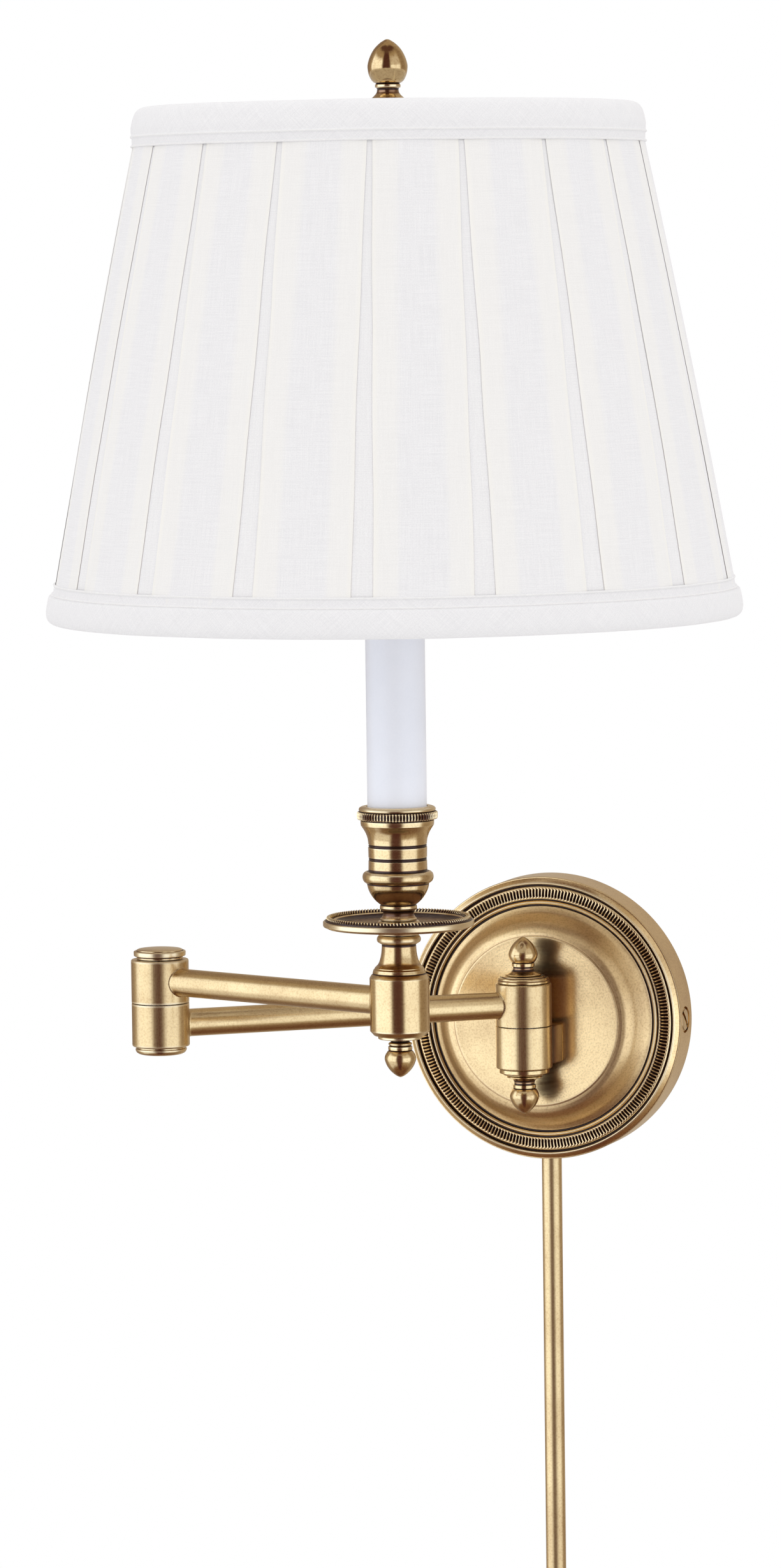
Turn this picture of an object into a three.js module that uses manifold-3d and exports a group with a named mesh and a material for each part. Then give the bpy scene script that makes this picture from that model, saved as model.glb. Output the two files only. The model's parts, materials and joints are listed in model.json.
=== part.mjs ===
// Swing arm wall sconce: a round wall canopy carries two hinged tube arms, and the
// outer arm carries a candle post with a lampholder, a harp and a box-pleated shade.
// Millimetres. +Z is up, the wall is the plane y = 0, and the lamp stands out along -Y.
// The origin is the centre of the mounting bar's back face, on the wall.

import * as THREE from 'three';
import { mergeVertices } from 'three/addons/utils/BufferGeometryUtils.js';
import Module from 'manifold-3d';

const wasm = await Module();
wasm.setup();

// ---- driving dimensions ----

const GAP = 0.3;                    // clearance between pieces that touch

const CANOPY_RADIUS = 67.6;
const CANOPY_RIM_DEPTH = 19.2;
const CANOPY_FACE_DEPTH = 31.0;
const CANOPY_WALL = 1.6;
const CANOPY_FACE_RADIUS = 40.0;

const BAR_LENGTH = 125;
const BAR_WIDTH = 18;
const BAR_THICKNESS = 2;
const BAR_EAR_DEPTH = 15;
const BOX_SCREW_SPACING = 83.8;

const SIDE_SCREW_DEPTH = 10;        // distance of the side screws from the wall
const SIDE_SCREW_HEAD_RADIUS = 5.7;
const SIDE_SCREW_SHANK_RADIUS = 2.1;

const WALL_HINGE_Y = -50.8;
const KNUCKLE_RADIUS = 13.25;
const KNUCKLE_HEIGHT = 20.1;
const KNUCKLE_BORE = 5.1;
const SPLIT_GAP = 0.4;              // running gap between the two halves of a hinge
const WALL_SPLIT_Z = 0.5;
const ELBOW_SPLIT_Z = WALL_SPLIT_Z + KNUCKLE_HEIGHT;
const LOWER_ARM_Z = WALL_SPLIT_Z + KNUCKLE_HEIGHT / 2;
const UPPER_ARM_Z = ELBOW_SPLIT_Z + KNUCKLE_HEIGHT / 2;
const BRACKET_Z = WALL_SPLIT_Z - KNUCKLE_HEIGHT / 2;

const LOWER_ARM_LENGTH = 178;       // between the hinge axes
const UPPER_ARM_LENGTH = 145;
const LOWER_ARM_ANGLE = -142.5;     // degrees from +X, seen from above
const ELBOW_ANGLE = 120.2;          // from the lower arm's direction to the upper arm's
const ARM_TUBE_RADIUS = 6.35;
const ARM_TUBE_BORE = 5.3;

const PIPE_RADIUS = 4.8;            // threaded lamp pipe, also used as hinge pins
const PIPE_BORE = 3.3;
const LEAD_RADIUS = 1.9;

const CORD_COVER_RADIUS = 4.75;
const CORD_COVER_BORE = 3.85;
const CORD_COVER_LENGTH = 304.8;
const CORD_COVER_Y = -8;
const CORD_COVER_TOP_Z = -61;

const POST_BARREL_RADIUS = 13.3;
const BOBECHE_RADIUS = 33.6;
const BOBECHE_Z = 61.1;
const CUP_Z = 67.4;
const SLEEVE_RADIUS = 13.2;
const SLEEVE_BORE = 12.0;
const SLEEVE_BOTTOM_Z = 106.5;
const SLEEVE_TOP_Z = 221;

const SADDLE_HALF_WIDTH = 22;
const HARP_HALF_WIDTH = 57;
const HARP_WIRE_RADIUS = 1.6;
const HARP_SEAT_Z = 424;

const SOCKET_Z = 223.3;
const BULB_Z = 262;
const BULB_RADIUS = 30;

const SHADE_BOTTOM_Z = 201.5;
const SHADE_TOP_Z = 427.5;
const SHADE_TOP_RADIUS = 108.4;     // outside of the pleated cloth
const SHADE_BOTTOM_RADIUS = 152.4;
const SHADE_SKIN = 1.6;
const TRIM_HEIGHT = 17.5;

const LARGE_ROUND = 32;             // segments of the canopy, bobeche and shade
const ROUND = 18;                   // segments of the turned parts
const SMALL_ROUND = 12;             // segments of pipes, pins and holes

// ---- materials ----

const finish = (color, roughness, metalness) => ({ color, roughness, metalness });

const ANTIQUE_BRASS = finish(0xb98f4e, 0.28, 1);
const SATIN_BRASS = finish(0xc6a263, 0.38, 1);
const ZINC_STEEL = finish(0xa9abac, 0.45, 1);
const CANDLE_WHITE = finish(0xe9ebf2, 0.5, 0);
const SHADE_CLOTH = finish(0xeeecee, 0.9, 0);
const LINING_WHITE = finish(0xf4f1ea, 0.85, 0);
const FRAME_WHITE = finish(0xe6e4df, 0.5, 0);
const INSULATOR = finish(0x2a2420, 0.5, 0);
const LEAD_BROWN = finish(0x4a2f1c, 0.4, 0);
const BULB_WHITE = finish(0xf2f1ea, 0.35, 0);
const CAP_ALUMINIUM = finish(0xc9cacb, 0.4, 1);

// ---- geometry helpers ----

function closedMesh(geometry) {
  const bare = geometry.clone();
  bare.deleteAttribute('normal');
  bare.deleteAttribute('uv');
  const merged = mergeVertices(bare, 1e-4);
  const corners = merged.index.array;
  const kept = [];
  for (let i = 0; i < corners.length; i += 3) {
    const [a, b, c] = corners.slice(i, i + 3);
    if (a !== b && b !== c && c !== a) kept.push(a, b, c);
  }
  merged.setIndex(kept);
  return merged;
}

function toSolid(geometry) {
  const mesh = closedMesh(geometry);
  return new wasm.Manifold(new wasm.Mesh({
    numProp: 3,
    vertProperties: new Float32Array(mesh.attributes.position.array),
    triVerts: new Uint32Array(mesh.index.array),
  }));
}

function toGeometry(solid) {
  const mesh = solid.getMesh();
  const geometry = new THREE.BufferGeometry();
  geometry.setAttribute('position', new THREE.BufferAttribute(mesh.vertProperties, 3));
  geometry.setIndex(new THREE.BufferAttribute(mesh.triVerts, 1));
  return geometry;
}

const cut = (body, ...tools) =>
  toGeometry(tools.reduce((solid, tool) => solid.subtract(toSolid(tool)), toSolid(body)));

const join = (first, ...others) =>
  toGeometry(others.reduce((solid, other) => solid.add(toSolid(other)), toSolid(first)));

// A body turned about Z. The outline's points are [radius, z], going up on the outside.
function turned(outline, segments = ROUND) {
  const points = outline.map(([radius, z]) => new THREE.Vector2(radius, z));
  const first = points[0];
  const last = points[points.length - 1];
  if (first.x > 0 || last.x > 0) points.push(first.clone());
  return new THREE.LatheGeometry(points, segments).rotateX(Math.PI / 2);
}

const rod = (radius, z0, z1, segments = SMALL_ROUND) =>
  turned([[0, z0], [radius, z0], [radius, z1], [0, z1]], segments);

const pipe = (radius, bore, z0, z1, segments = SMALL_ROUND) =>
  turned([[bore, z0], [radius, z0], [radius, z1], [bore, z1]], segments);

const alongX = (geometry) => geometry.rotateY(Math.PI / 2);
const alongY = (geometry) => geometry.rotateX(-Math.PI / 2);

function block([x0, x1], [y0, y1], [z0, z1]) {
  const box = new THREE.BoxGeometry(x1 - x0, y1 - y0, z1 - z0);
  return box.translate((x0 + x1) / 2, (y0 + y1) / 2, (z0 + z1) / 2);
}

function wire(points, radius, steps, sides = 6) {
  const section = new THREE.Shape();
  for (let i = 0; i < sides; i += 1) {
    const angle = (2 * Math.PI * i) / sides;
    const corner = [radius * Math.cos(angle), radius * Math.sin(angle)];
    if (i === 0) section.moveTo(...corner);
    else section.lineTo(...corner);
  }
  section.closePath();
  const path = new THREE.CatmullRomCurve3(points.map((p) => new THREE.Vector3(...p)));
  return new THREE.ExtrudeGeometry(section, { steps, extrudePath: path, bevelEnabled: false });
}

const ring = (radius, wireRadius, z) =>
  new THREE.TorusGeometry(radius, wireRadius, 5, LARGE_ROUND).translate(0, 0, z);

function add(group, name, geometry, look) {
  const mesh = new THREE.Mesh(closedMesh(geometry), new THREE.MeshStandardMaterial(look));
  mesh.geometry.computeVertexNormals();
  mesh.name = name;
  group.add(mesh);
}

// ---- wall assembly: canopy, mounting bar and screws ----

// Outline of the canopy as [radius, distance from the wall].
function canopyShell() {
  const rim = CANOPY_RIM_DEPTH;
  const face = CANOPY_FACE_DEPTH;
  const inside = face - CANOPY_WALL;
  const outer = [
    [CANOPY_RADIUS, 0], [67.3, rim], [65.6, rim + 1.3],
    [63.2, rim], [60.6, rim + 1.4], [57.5, rim], [55.6, rim + 1.0], [53.6, rim],
    [50.2, rim + 2.3], [46.4, rim + 7.9], [43.2, face - 1.0], [CANOPY_FACE_RADIUS, face],
  ];
  const inner = [
    [0, face], [0, inside], [39.4, inside], [46.0, 23.6],
    [51.0, rim - 1.9], [65.6, rim - 2.6], [CANOPY_RADIUS - 2, 0],
  ];
  return turned([...outer, ...inner], LARGE_ROUND).rotateX(Math.PI / 2);
}

function canopy() {
  const sideTools = [0, Math.PI].flatMap((turn) => {
    const shankHole = alongX(rod(SIDE_SCREW_SHANK_RADIUS + 0.6, 60, 70));
    const headSeat = alongX(rod(SIDE_SCREW_HEAD_RADIUS + GAP, 66.25, 70, ROUND));
    return [shankHole, headSeat].map((tool) =>
      tool.rotateZ(turn).translate(0, -SIDE_SCREW_DEPTH, 0));
  });
  const cordHole = rod(CORD_COVER_RADIUS + GAP, -75, -58).translate(0, CORD_COVER_Y, 0);
  const nippleHole = alongY(rod(KNUCKLE_BORE, -40, -20)).translate(0, 0, BRACKET_Z);
  return cut(canopyShell(), ...sideTools, cordHole, nippleHole);
}

function mountingBar() {
  const half = BAR_LENGTH / 2;
  const tall = [-BAR_WIDTH / 2, BAR_WIDTH / 2];
  const ears = [-1, 1].map((side) => {
    const x = [side * half, side * (half - BAR_THICKNESS)].sort((a, b) => a - b);
    return block(x, [-BAR_EAR_DEPTH, 0], tall);
  });
  const bar = join(block([-half, half], [-BAR_THICKNESS, 0], tall), ...ears);
  const slots = [-1, 1].map((side) => {
    const x = (side * BOX_SCREW_SPACING) / 2;
    return block([x - 7, x + 7], [-5, 5], [-2.2, 2.2]);
  });
  const tapped = alongX(rod(2.4, -80, 80)).translate(0, -SIDE_SCREW_DEPTH, 0);
  return cut(bar, ...slots, tapped);
}

// Slotted screw along +X whose head lies flush in the canopy's rim.
function sideScrew() {
  const outline = [
    [0, 57], [SIDE_SCREW_SHANK_RADIUS, 57], [SIDE_SCREW_SHANK_RADIUS, 66.55],
    [SIDE_SCREW_HEAD_RADIUS, 66.55], [SIDE_SCREW_HEAD_RADIUS, 67.1], [0, 67.35],
  ];
  const slot = block([66.85, 70], [-9, 9], [-0.6, 0.6]).rotateX(-Math.PI / 4);
  return cut(alongX(turned(outline, 16)), slot);
}

// ---- hinges ----

// Half of a hinge barrel standing on z = 0, with an optional recess for a friction washer.
function knuckle(recess) {
  const r = KNUCKLE_RADIUS;
  const h = KNUCKLE_HEIGHT - SPLIT_GAP / 2;
  const top = recess ? [[10.5, h], [10.5, h - 0.9], [KNUCKLE_BORE, h - 0.9]] : [[KNUCKLE_BORE, h]];
  return turned([
    [KNUCKLE_BORE, 0], [r - 0.6, 0], [r, 0.6], [r, h], ...top,
  ]);
}

const frictionWasher = (splitZ) =>
  pipe(10.1, KNUCKLE_BORE, splitZ - SPLIT_GAP / 2 - 0.6, splitZ);

// Lead passage from a hinge's bore out along +X at the arm's height.
const leadPassage = (z, length = 16) => alongX(rod(3.4, 0, length)).translate(0, 0, z);

function hingePin(z0, z1, windows) {
  const holes = windows.map(([angle, z]) =>
    alongX(rod(2.5, 0, 8, 8)).rotateZ(THREE.MathUtils.degToRad(angle)).translate(0, 0, z));
  return cut(pipe(PIPE_RADIUS, PIPE_BORE, z0, z1), ...holes);
}

// Acorn finial standing on z = 0, with a spigot that screws into a pipe below it.
function acornFinial(neck, baseRadius) {
  const body = [
    [3.0, 0], [baseRadius, 0], [baseRadius, 0.5], [4.8, 2.0], [4.7, neck],
    [5.3, neck + 0.1], [5.3, neck + 1.7], [6.6, neck + 3.6], [6.9, neck + 5.4],
    [5.9, neck + 8.8], [3.5, neck + 11.9], [0, neck + 14.0],
  ];
  return turned([[0, -5], [3.0, -5], ...body], 16);
}

const hingeCap = (radius, shoulder, step, height) => turned([
  [KNUCKLE_BORE, 0], [radius, 0], [radius, step], [shoulder, step], [shoulder, height],
  [KNUCKLE_BORE, height],
]);

// Closed plug cap of the elbow, with a spigot in the hinge pin's bore.
const elbowPlug = (height, crown) => turned([
  [0, -5], [3.0, -5], [3.0, 0], [11.1, 0], [11.1, 1.0], [11.9, 1.0], [11.9, height],
  [10.4, height + 0.3], [0, height + crown],
]);

const upsideDown = (geometry) => geometry.rotateX(Math.PI);

// ---- wall bracket ----

function wallBracket() {
  const bottom = WALL_SPLIT_Z - KNUCKLE_HEIGHT;
  const back = -CANOPY_FACE_DEPTH - GAP - WALL_HINGE_Y;
  const body = block([-13, 13], [0, back], [bottom + 0.8, WALL_SPLIT_Z - 1.1]);
  const barrel = rod(KNUCKLE_RADIUS - 2, bottom + 0.5, WALL_SPLIT_Z - 0.9, ROUND);
  const half = join(knuckle(true).translate(0, 0, bottom), cut(body, barrel));
  const socket = alongY(rod(PIPE_RADIUS + GAP, 11, 30)).translate(0, 0, BRACKET_Z);
  const passage = alongY(rod(3.4, 0, 20)).translate(0, 0, BRACKET_Z);
  return cut(half, socket, passage);
}

// ---- candle post ----

const postBody = () => cut(turned([
  [KNUCKLE_BORE, 16.0], [11.8, 16.0], [POST_BARREL_RADIUS, 17.8],
  [POST_BARREL_RADIUS, 42.0], [11.6, 43.8], [11.5, 45.2], [9.4, 48.5], [7.6, 52.6], [7.3, 56.2],
  [9.8, 57.4], [9.8, 60.8], [KNUCKLE_BORE, 60.8],
]), leadPassage(UPPER_ARM_Z, 20).rotateZ(Math.PI));

const bobeche = () => turned([
  [KNUCKLE_BORE, 0], [9.6, 0], [10.4, 2.4], [26, 2.9], [31.6, 3.3], [BOBECHE_RADIUS, 4.1],
  [BOBECHE_RADIUS, 6.2], [32.4, 6.8], [31.3, 8.4], [30.0, 6.5], [28.3, 6.7], [25.8, 4.9],
  [14, 4.3], [9.4, 6.0], [KNUCKLE_BORE, 6.0],
], LARGE_ROUND);

const candleCup = () => turned([
  [KNUCKLE_BORE, 0], [8.2, 0], [6.9, 2.2], [6.9, 4.3], [8.1, 5.2], [8.1, 7.2],
  [12.2, 11.8], [13.9, 16.3], [15.7, 18.4], [15.1, 21.4], [13.0, 22.0],
  [13.0, 33.2], [16.3, 43.0], [18.0, 46.0], [15.1, 51.2], [13.6, 51.2], [13.6, 38.8],
  [11, 38.8], [11, 22.6], [KNUCKLE_BORE, 22.6],
]).translate(0, 0, CUP_Z);

function hexNut(acrossFlats, bore, height) {
  const body = new THREE.CylinderGeometry(acrossFlats / Math.sqrt(3), acrossFlats / Math.sqrt(3),
    height, 6).rotateX(Math.PI / 2).translate(0, 0, height / 2);
  return cut(body, rod(bore, -1, height + 1));
}

// ---- harp ----

function harpSaddle() {
  const out = SADDLE_HALF_WIDTH;
  const arms = [-1, 1].map((side) => {
    const x = [side * out, side * (out - 1.5)].sort((a, b) => a - b);
    return block(x, [-5, 5], [0, 15]);
  });
  const strap = join(block([-out, out], [-7, 7], [0, 1.5]), ...arms);
  return cut(strap, rod(KNUCKLE_BORE, -1, 3)).translate(0, 0, SLEEVE_TOP_Z + GAP);
}

function harp() {
  const z0 = SLEEVE_TOP_Z + 17;
  const height = HARP_SEAT_Z - 2.2 - z0;
  const x0 = SADDLE_HALF_WIDTH - 0.75;
  const half = [
    [x0, 0], [x0, 7], [x0, 14], [x0 + 9, 28], [48, 54], [HARP_HALF_WIDTH, 86],
    [HARP_HALF_WIDTH, 118], [49, 148], [34, 168], [18, 178], [7, height],
  ];
  const points = [
    ...half.map(([x, z]) => [-x, 0, z0 + z]),
    ...half.reverse().map(([x, z]) => [x, 0, z0 + z]),
  ];
  const seat = turned([
    [0, height - 2], [4, height - 2], [8, height], [8, height + 2.2], [3, height + 2.2],
    [3, height + 10.5], [0, height + 11],
  ], 16).translate(0, 0, z0);
  return join(wire(points, HARP_WIRE_RADIUS, 36), seat);
}

// ---- lampholder and bulb ----

const socketCap = () => turned([
  [KNUCKLE_BORE, 0], [8, 0], [13.4, 3.0], [16.2, 8.0], [16.9, 14], [16.0, 14], [15.2, 8.6],
  [12.6, 4.1], [7.6, 1.2], [KNUCKLE_BORE, 1.2],
]).translate(0, 0, SOCKET_Z);

const socketShell = () => cut(turned([
  [15.4, 14.3], [16.6, 14.3], [16.6, 52], [17.2, 53], [17.2, 55], [15.4, 55],
]), alongY(rod(2.9, -20, 0)).translate(0, 0, 27)).translate(0, 0, SOCKET_Z);

const socketInsulator = () => cut(turned([
  [2.4, 14.6], [14.8, 14.6], [14.8, 37.6], [2.4, 37.6],
]), alongY(rod(2.6, -20, -8)).translate(0, 0, 27)).translate(0, 0, SOCKET_Z);

const socketScrewShell = () => pipe(14.6, 13.8, SOCKET_Z + 38, SOCKET_Z + 54, ROUND);

// Turn key of the switch: a shaft along -Y with a flat-sided grip.
function switchKey() {
  const shaft = rod(2.2, 10, 24);
  const grip = turned([
    [0, 23], [3.2, 23], [5.4, 28], [5.4, 33], [4.2, 35.5], [0, 36],
  ], SMALL_ROUND);
  const flats = [block([-8, 8], [2.2, 9], [25, 40]), block([-8, 8], [-9, -2.2], [25, 40])];
  return cut(join(shaft, grip), ...flats);
}

function bulbGlass() {
  const outer = [
    [11.2, 26], [16.5, 41], [26.4, 60], [BULB_RADIUS, 75], [27.4, 89], [17.5, 101.6], [0, 106],
  ];
  const inner = [[0, 105], [17, 100.6], [26.4, 88.4], [29, 75], [25.4, 60], [15.5, 41], [10.2, 26]];
  return turned([...outer, ...inner]).translate(0, 0, BULB_Z);
}

const bulbBase = () => turned([
  [0, 0], [4.5, 0], [5, 1.5], [13.0, 5], [13.0, 25.6], [12.2, 25.6], [12.2, 6], [0, 6],
]).translate(0, 0, BULB_Z);

// ---- shade ----

const shadeRadius = (z) => {
  const t = (z - SHADE_BOTTOM_Z) / (SHADE_TOP_Z - SHADE_BOTTOM_Z);
  return SHADE_BOTTOM_RADIUS + t * (SHADE_TOP_RADIUS - SHADE_BOTTOM_RADIUS);
};

function coneShell(z0, z1, offset, thickness) {
  const [a, b] = [shadeRadius(z0) + offset, shadeRadius(z1) + offset];
  return turned([[a - thickness, z0], [a, z0], [b, z1], [b - thickness, z1]], LARGE_ROUND);
}

// Bias band of the shade: its outside is given, its inside lies on the pleated cloth.
function shadeTrim(z0, z1, outside) {
  const [inner0, inner1] = [shadeRadius(z0) + GAP, shadeRadius(z1) + GAP];
  return turned([[inner0, z0], ...outside, [inner1, z1]], LARGE_ROUND);
}

const RING_INSET = SHADE_SKIN + 3;  // from the cloth's outside to the wire's centre line
const RING_WIRE_RADIUS = 1.4;

function shadeSpider() {
  const z = HARP_SEAT_Z + 1;
  const hub = pipe(13, 3.4, HARP_SEAT_Z + GAP, HARP_SEAT_Z + 2, ROUND);
  const reach = shadeRadius(SHADE_TOP_Z - 2) - RING_INSET - RING_WIRE_RADIUS - GAP;
  const arms = [90, 210, 330].map((angle) => alongX(rod(RING_WIRE_RADIUS, 9, reach, 6))
    .rotateZ(THREE.MathUtils.degToRad(angle)).translate(0, 0, z));
  return join(hub, ...arms);
}

const shadeFinial = () => cut(turned([
  [0, 0], [7.4, 0], [7.0, 1.8], [4.6, 5.0], [4.5, 7.0], [5.7, 9.4], [8.0, 12.8],
  [8.8, 16.8], [8.0, 21.0], [5.8, 25.2], [2.8, 28.2], [0, 29.1],
]), rod(3.3, -1, 9)).translate(0, 0, HARP_SEAT_Z + 2.5);

// ---- cord cover ----

function cordCoverClip(z) {
  const reach = CORD_COVER_RADIUS + GAP + 1.2;
  const band = rod(reach, -5, 5, ROUND).translate(0, CORD_COVER_Y, 0);
  const cheeks = block([-reach, reach], [CORD_COVER_Y, 0], [-5, 5]);
  const foot = block([-14, 14], [-1.2, 0], [-5, 5]);
  const bore = rod(CORD_COVER_RADIUS + GAP, -6, 6, ROUND).translate(0, CORD_COVER_Y, 0);
  const holes = [-1, 1].map((side) => alongY(rod(1.7, -3, 3)).translate(side * 10.5, 0, 0));
  const throat = block([-CORD_COVER_RADIUS, CORD_COVER_RADIUS], [CORD_COVER_Y, 1], [-6, 6]);
  return cut(join(band, cheeks, foot), bore, throat, ...holes).translate(0, 0, z);
}

// ---- assembly ----

const sconce = new THREE.Group();

function addWallAssembly() {
  const side = sideScrew();
  add(sconce, 'canopy', canopy(), ANTIQUE_BRASS);
  add(sconce, 'mounting_bar', mountingBar(), ZINC_STEEL);
  add(sconce, 'side_screw_right', side.clone().translate(0, -SIDE_SCREW_DEPTH, 0), ANTIQUE_BRASS);
  add(sconce, 'side_screw_left',
    side.clone().rotateZ(Math.PI).translate(0, -SIDE_SCREW_DEPTH, 0), ANTIQUE_BRASS);

  const hinge = new THREE.Group();
  hinge.position.set(0, WALL_HINGE_Y, 0);
  sconce.add(hinge);
  const top = WALL_SPLIT_Z + KNUCKLE_HEIGHT + GAP;
  const bottom = WALL_SPLIT_Z - KNUCKLE_HEIGHT - GAP;
  add(hinge, 'wall_bracket', wallBracket(), ANTIQUE_BRASS);
  add(hinge, 'wall_pin', hingePin(bottom - 2.6, top + 2.6,
    [[90, BRACKET_Z], [LOWER_ARM_ANGLE, LOWER_ARM_Z]]), ZINC_STEEL);
  add(hinge, 'wall_friction_washer', frictionWasher(WALL_SPLIT_Z), ZINC_STEEL);
  add(hinge, 'wall_cap_upper', hingeCap(12.4, 10.2, 2.2, 3.1).translate(0, 0, top), ANTIQUE_BRASS);
  add(hinge, 'wall_finial_upper',
    acornFinial(4.1, 8.8).translate(0, 0, top + 3.1 + GAP), ANTIQUE_BRASS);
  add(hinge, 'wall_cap_lower',
    upsideDown(hingeCap(11.8, 9.8, 2.2, 3.1)).translate(0, 0, bottom), ANTIQUE_BRASS);
  add(hinge, 'wall_finial_lower',
    upsideDown(acornFinial(4.1, 8.4)).translate(0, 0, bottom - 3.1 - GAP), ANTIQUE_BRASS);
  addCanopyFixings();
}

function addCanopyFixings() {
  const behind = -CANOPY_FACE_DEPTH + CANOPY_WALL + GAP;
  const nipple = alongY(pipe(PIPE_RADIUS, PIPE_BORE, -39.2, -22));
  add(sconce, 'bracket_nipple', nipple.translate(0, 0, BRACKET_Z), ZINC_STEEL);
  add(sconce, 'bracket_washer',
    alongY(pipe(9, KNUCKLE_BORE, behind, behind + 1.2)).translate(0, 0, BRACKET_Z), ZINC_STEEL);
  add(sconce, 'bracket_nut', alongY(hexNut(15, KNUCKLE_BORE, 3.4))
    .translate(0, behind + 1.2 + GAP, BRACKET_Z), ZINC_STEEL);
  const route = [
    [0, CORD_COVER_Y, CORD_COVER_TOP_Z + 1], [0, -9, -46], [0, -9, -32], [0, -10, -19],
    [0, -14, -11.4], [0, -20, BRACKET_Z], [0, -30, BRACKET_Z], [0, -44, BRACKET_Z],
  ];
  add(sconce, 'canopy_lead', wire(route, LEAD_RADIUS, 20), LEAD_BROWN);
}

function addCordCover() {
  const bottom = CORD_COVER_TOP_Z - CORD_COVER_LENGTH;
  const place = (geometry) => geometry.translate(0, CORD_COVER_Y, 0);
  add(sconce, 'cord_cover_tube',
    place(pipe(CORD_COVER_RADIUS, CORD_COVER_BORE, bottom, CORD_COVER_TOP_Z, ROUND)), SATIN_BRASS);
  add(sconce, 'cord_cover_bushing', place(turned([
    [CORD_COVER_BORE, bottom - 3], [6.2, bottom - 3], [6.2, bottom + 6.5],
    [CORD_COVER_RADIUS + GAP, bottom + 6.5], [CORD_COVER_RADIUS + GAP, bottom - GAP],
    [CORD_COVER_BORE, bottom - GAP],
  ])), ANTIQUE_BRASS);
  add(sconce, 'cord_cover_clip', cordCoverClip(bottom + 24), ANTIQUE_BRASS);
}

function armTube(length, z, endRadii) {
  const tube = alongX(pipe(ARM_TUBE_RADIUS, ARM_TUBE_BORE, 0, length, ROUND)).translate(0, 0, z);
  const saddles = endRadii.map((radius, i) =>
    rod(radius + GAP, z - 10, z + 10, 2 * ROUND).translate(i * length, 0, 0));
  return cut(tube, ...saddles);
}

const armLead = (length, z) => wire([
  [7, 0, z], [length / 3, 0, z - 1.5], [(2 * length) / 3, 0, z - 1.5], [length - 7, 0, z],
], LEAD_RADIUS, 12);

function addLowerArm() {
  const arm = new THREE.Group();
  arm.position.set(0, WALL_HINGE_Y, 0);
  arm.rotation.z = THREE.MathUtils.degToRad(LOWER_ARM_ANGLE);
  sconce.add(arm);
  const z = LOWER_ARM_Z;
  const wallKnuckle = knuckle(false).translate(0, 0, WALL_SPLIT_Z + SPLIT_GAP / 2);
  add(arm, 'wall_knuckle', cut(wallKnuckle, leadPassage(z)), ANTIQUE_BRASS);
  add(arm, 'lower_arm_tube',
    armTube(LOWER_ARM_LENGTH, z, [KNUCKLE_RADIUS, KNUCKLE_RADIUS]), SATIN_BRASS);
  add(arm, 'lower_arm_lead', armLead(LOWER_ARM_LENGTH, z), LEAD_BROWN);

  const elbow = new THREE.Group();
  elbow.position.x = LOWER_ARM_LENGTH;
  arm.add(elbow);
  const bottom = ELBOW_SPLIT_Z - KNUCKLE_HEIGHT - GAP;
  const top = ELBOW_SPLIT_Z + KNUCKLE_HEIGHT + GAP;
  const lower = knuckle(true).translate(0, 0, ELBOW_SPLIT_Z - KNUCKLE_HEIGHT);
  add(elbow, 'elbow_knuckle_lower',
    cut(lower, leadPassage(z).rotateZ(Math.PI)), ANTIQUE_BRASS);
  add(elbow, 'elbow_pin', hingePin(bottom, top,
    [[180, LOWER_ARM_Z], [ELBOW_ANGLE, UPPER_ARM_Z]]), ZINC_STEEL);
  add(elbow, 'elbow_friction_washer', frictionWasher(ELBOW_SPLIT_Z), ZINC_STEEL);
  add(elbow, 'elbow_cap_upper', elbowPlug(4.2, 0.6).translate(0, 0, top), ANTIQUE_BRASS);
  add(elbow, 'elbow_cap_lower',
    upsideDown(elbowPlug(3.0, 1.0)).translate(0, 0, bottom), ANTIQUE_BRASS);
  addUpperArm(elbow);
}

function addUpperArm(elbow) {
  const arm = new THREE.Group();
  arm.rotation.z = THREE.MathUtils.degToRad(ELBOW_ANGLE);
  elbow.add(arm);
  const z = UPPER_ARM_Z;
  const upper = knuckle(false).translate(0, 0, ELBOW_SPLIT_Z + SPLIT_GAP / 2);
  add(arm, 'elbow_knuckle_upper', cut(upper, leadPassage(z)), ANTIQUE_BRASS);
  add(arm, 'upper_arm_tube',
    armTube(UPPER_ARM_LENGTH, z, [KNUCKLE_RADIUS, POST_BARREL_RADIUS]), SATIN_BRASS);
  add(arm, 'upper_arm_lead', armLead(UPPER_ARM_LENGTH, z), LEAD_BROWN);

  const post = new THREE.Group();
  post.position.x = UPPER_ARM_LENGTH;
  arm.add(post);
  add(post, 'post_body', postBody(), ANTIQUE_BRASS);
  const level = new THREE.Group();
  level.rotation.z = -THREE.MathUtils.degToRad(LOWER_ARM_ANGLE + ELBOW_ANGLE);
  post.add(level);
  addCandle(level);
  addLampholder(level);
  addShade(level);
}

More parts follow.
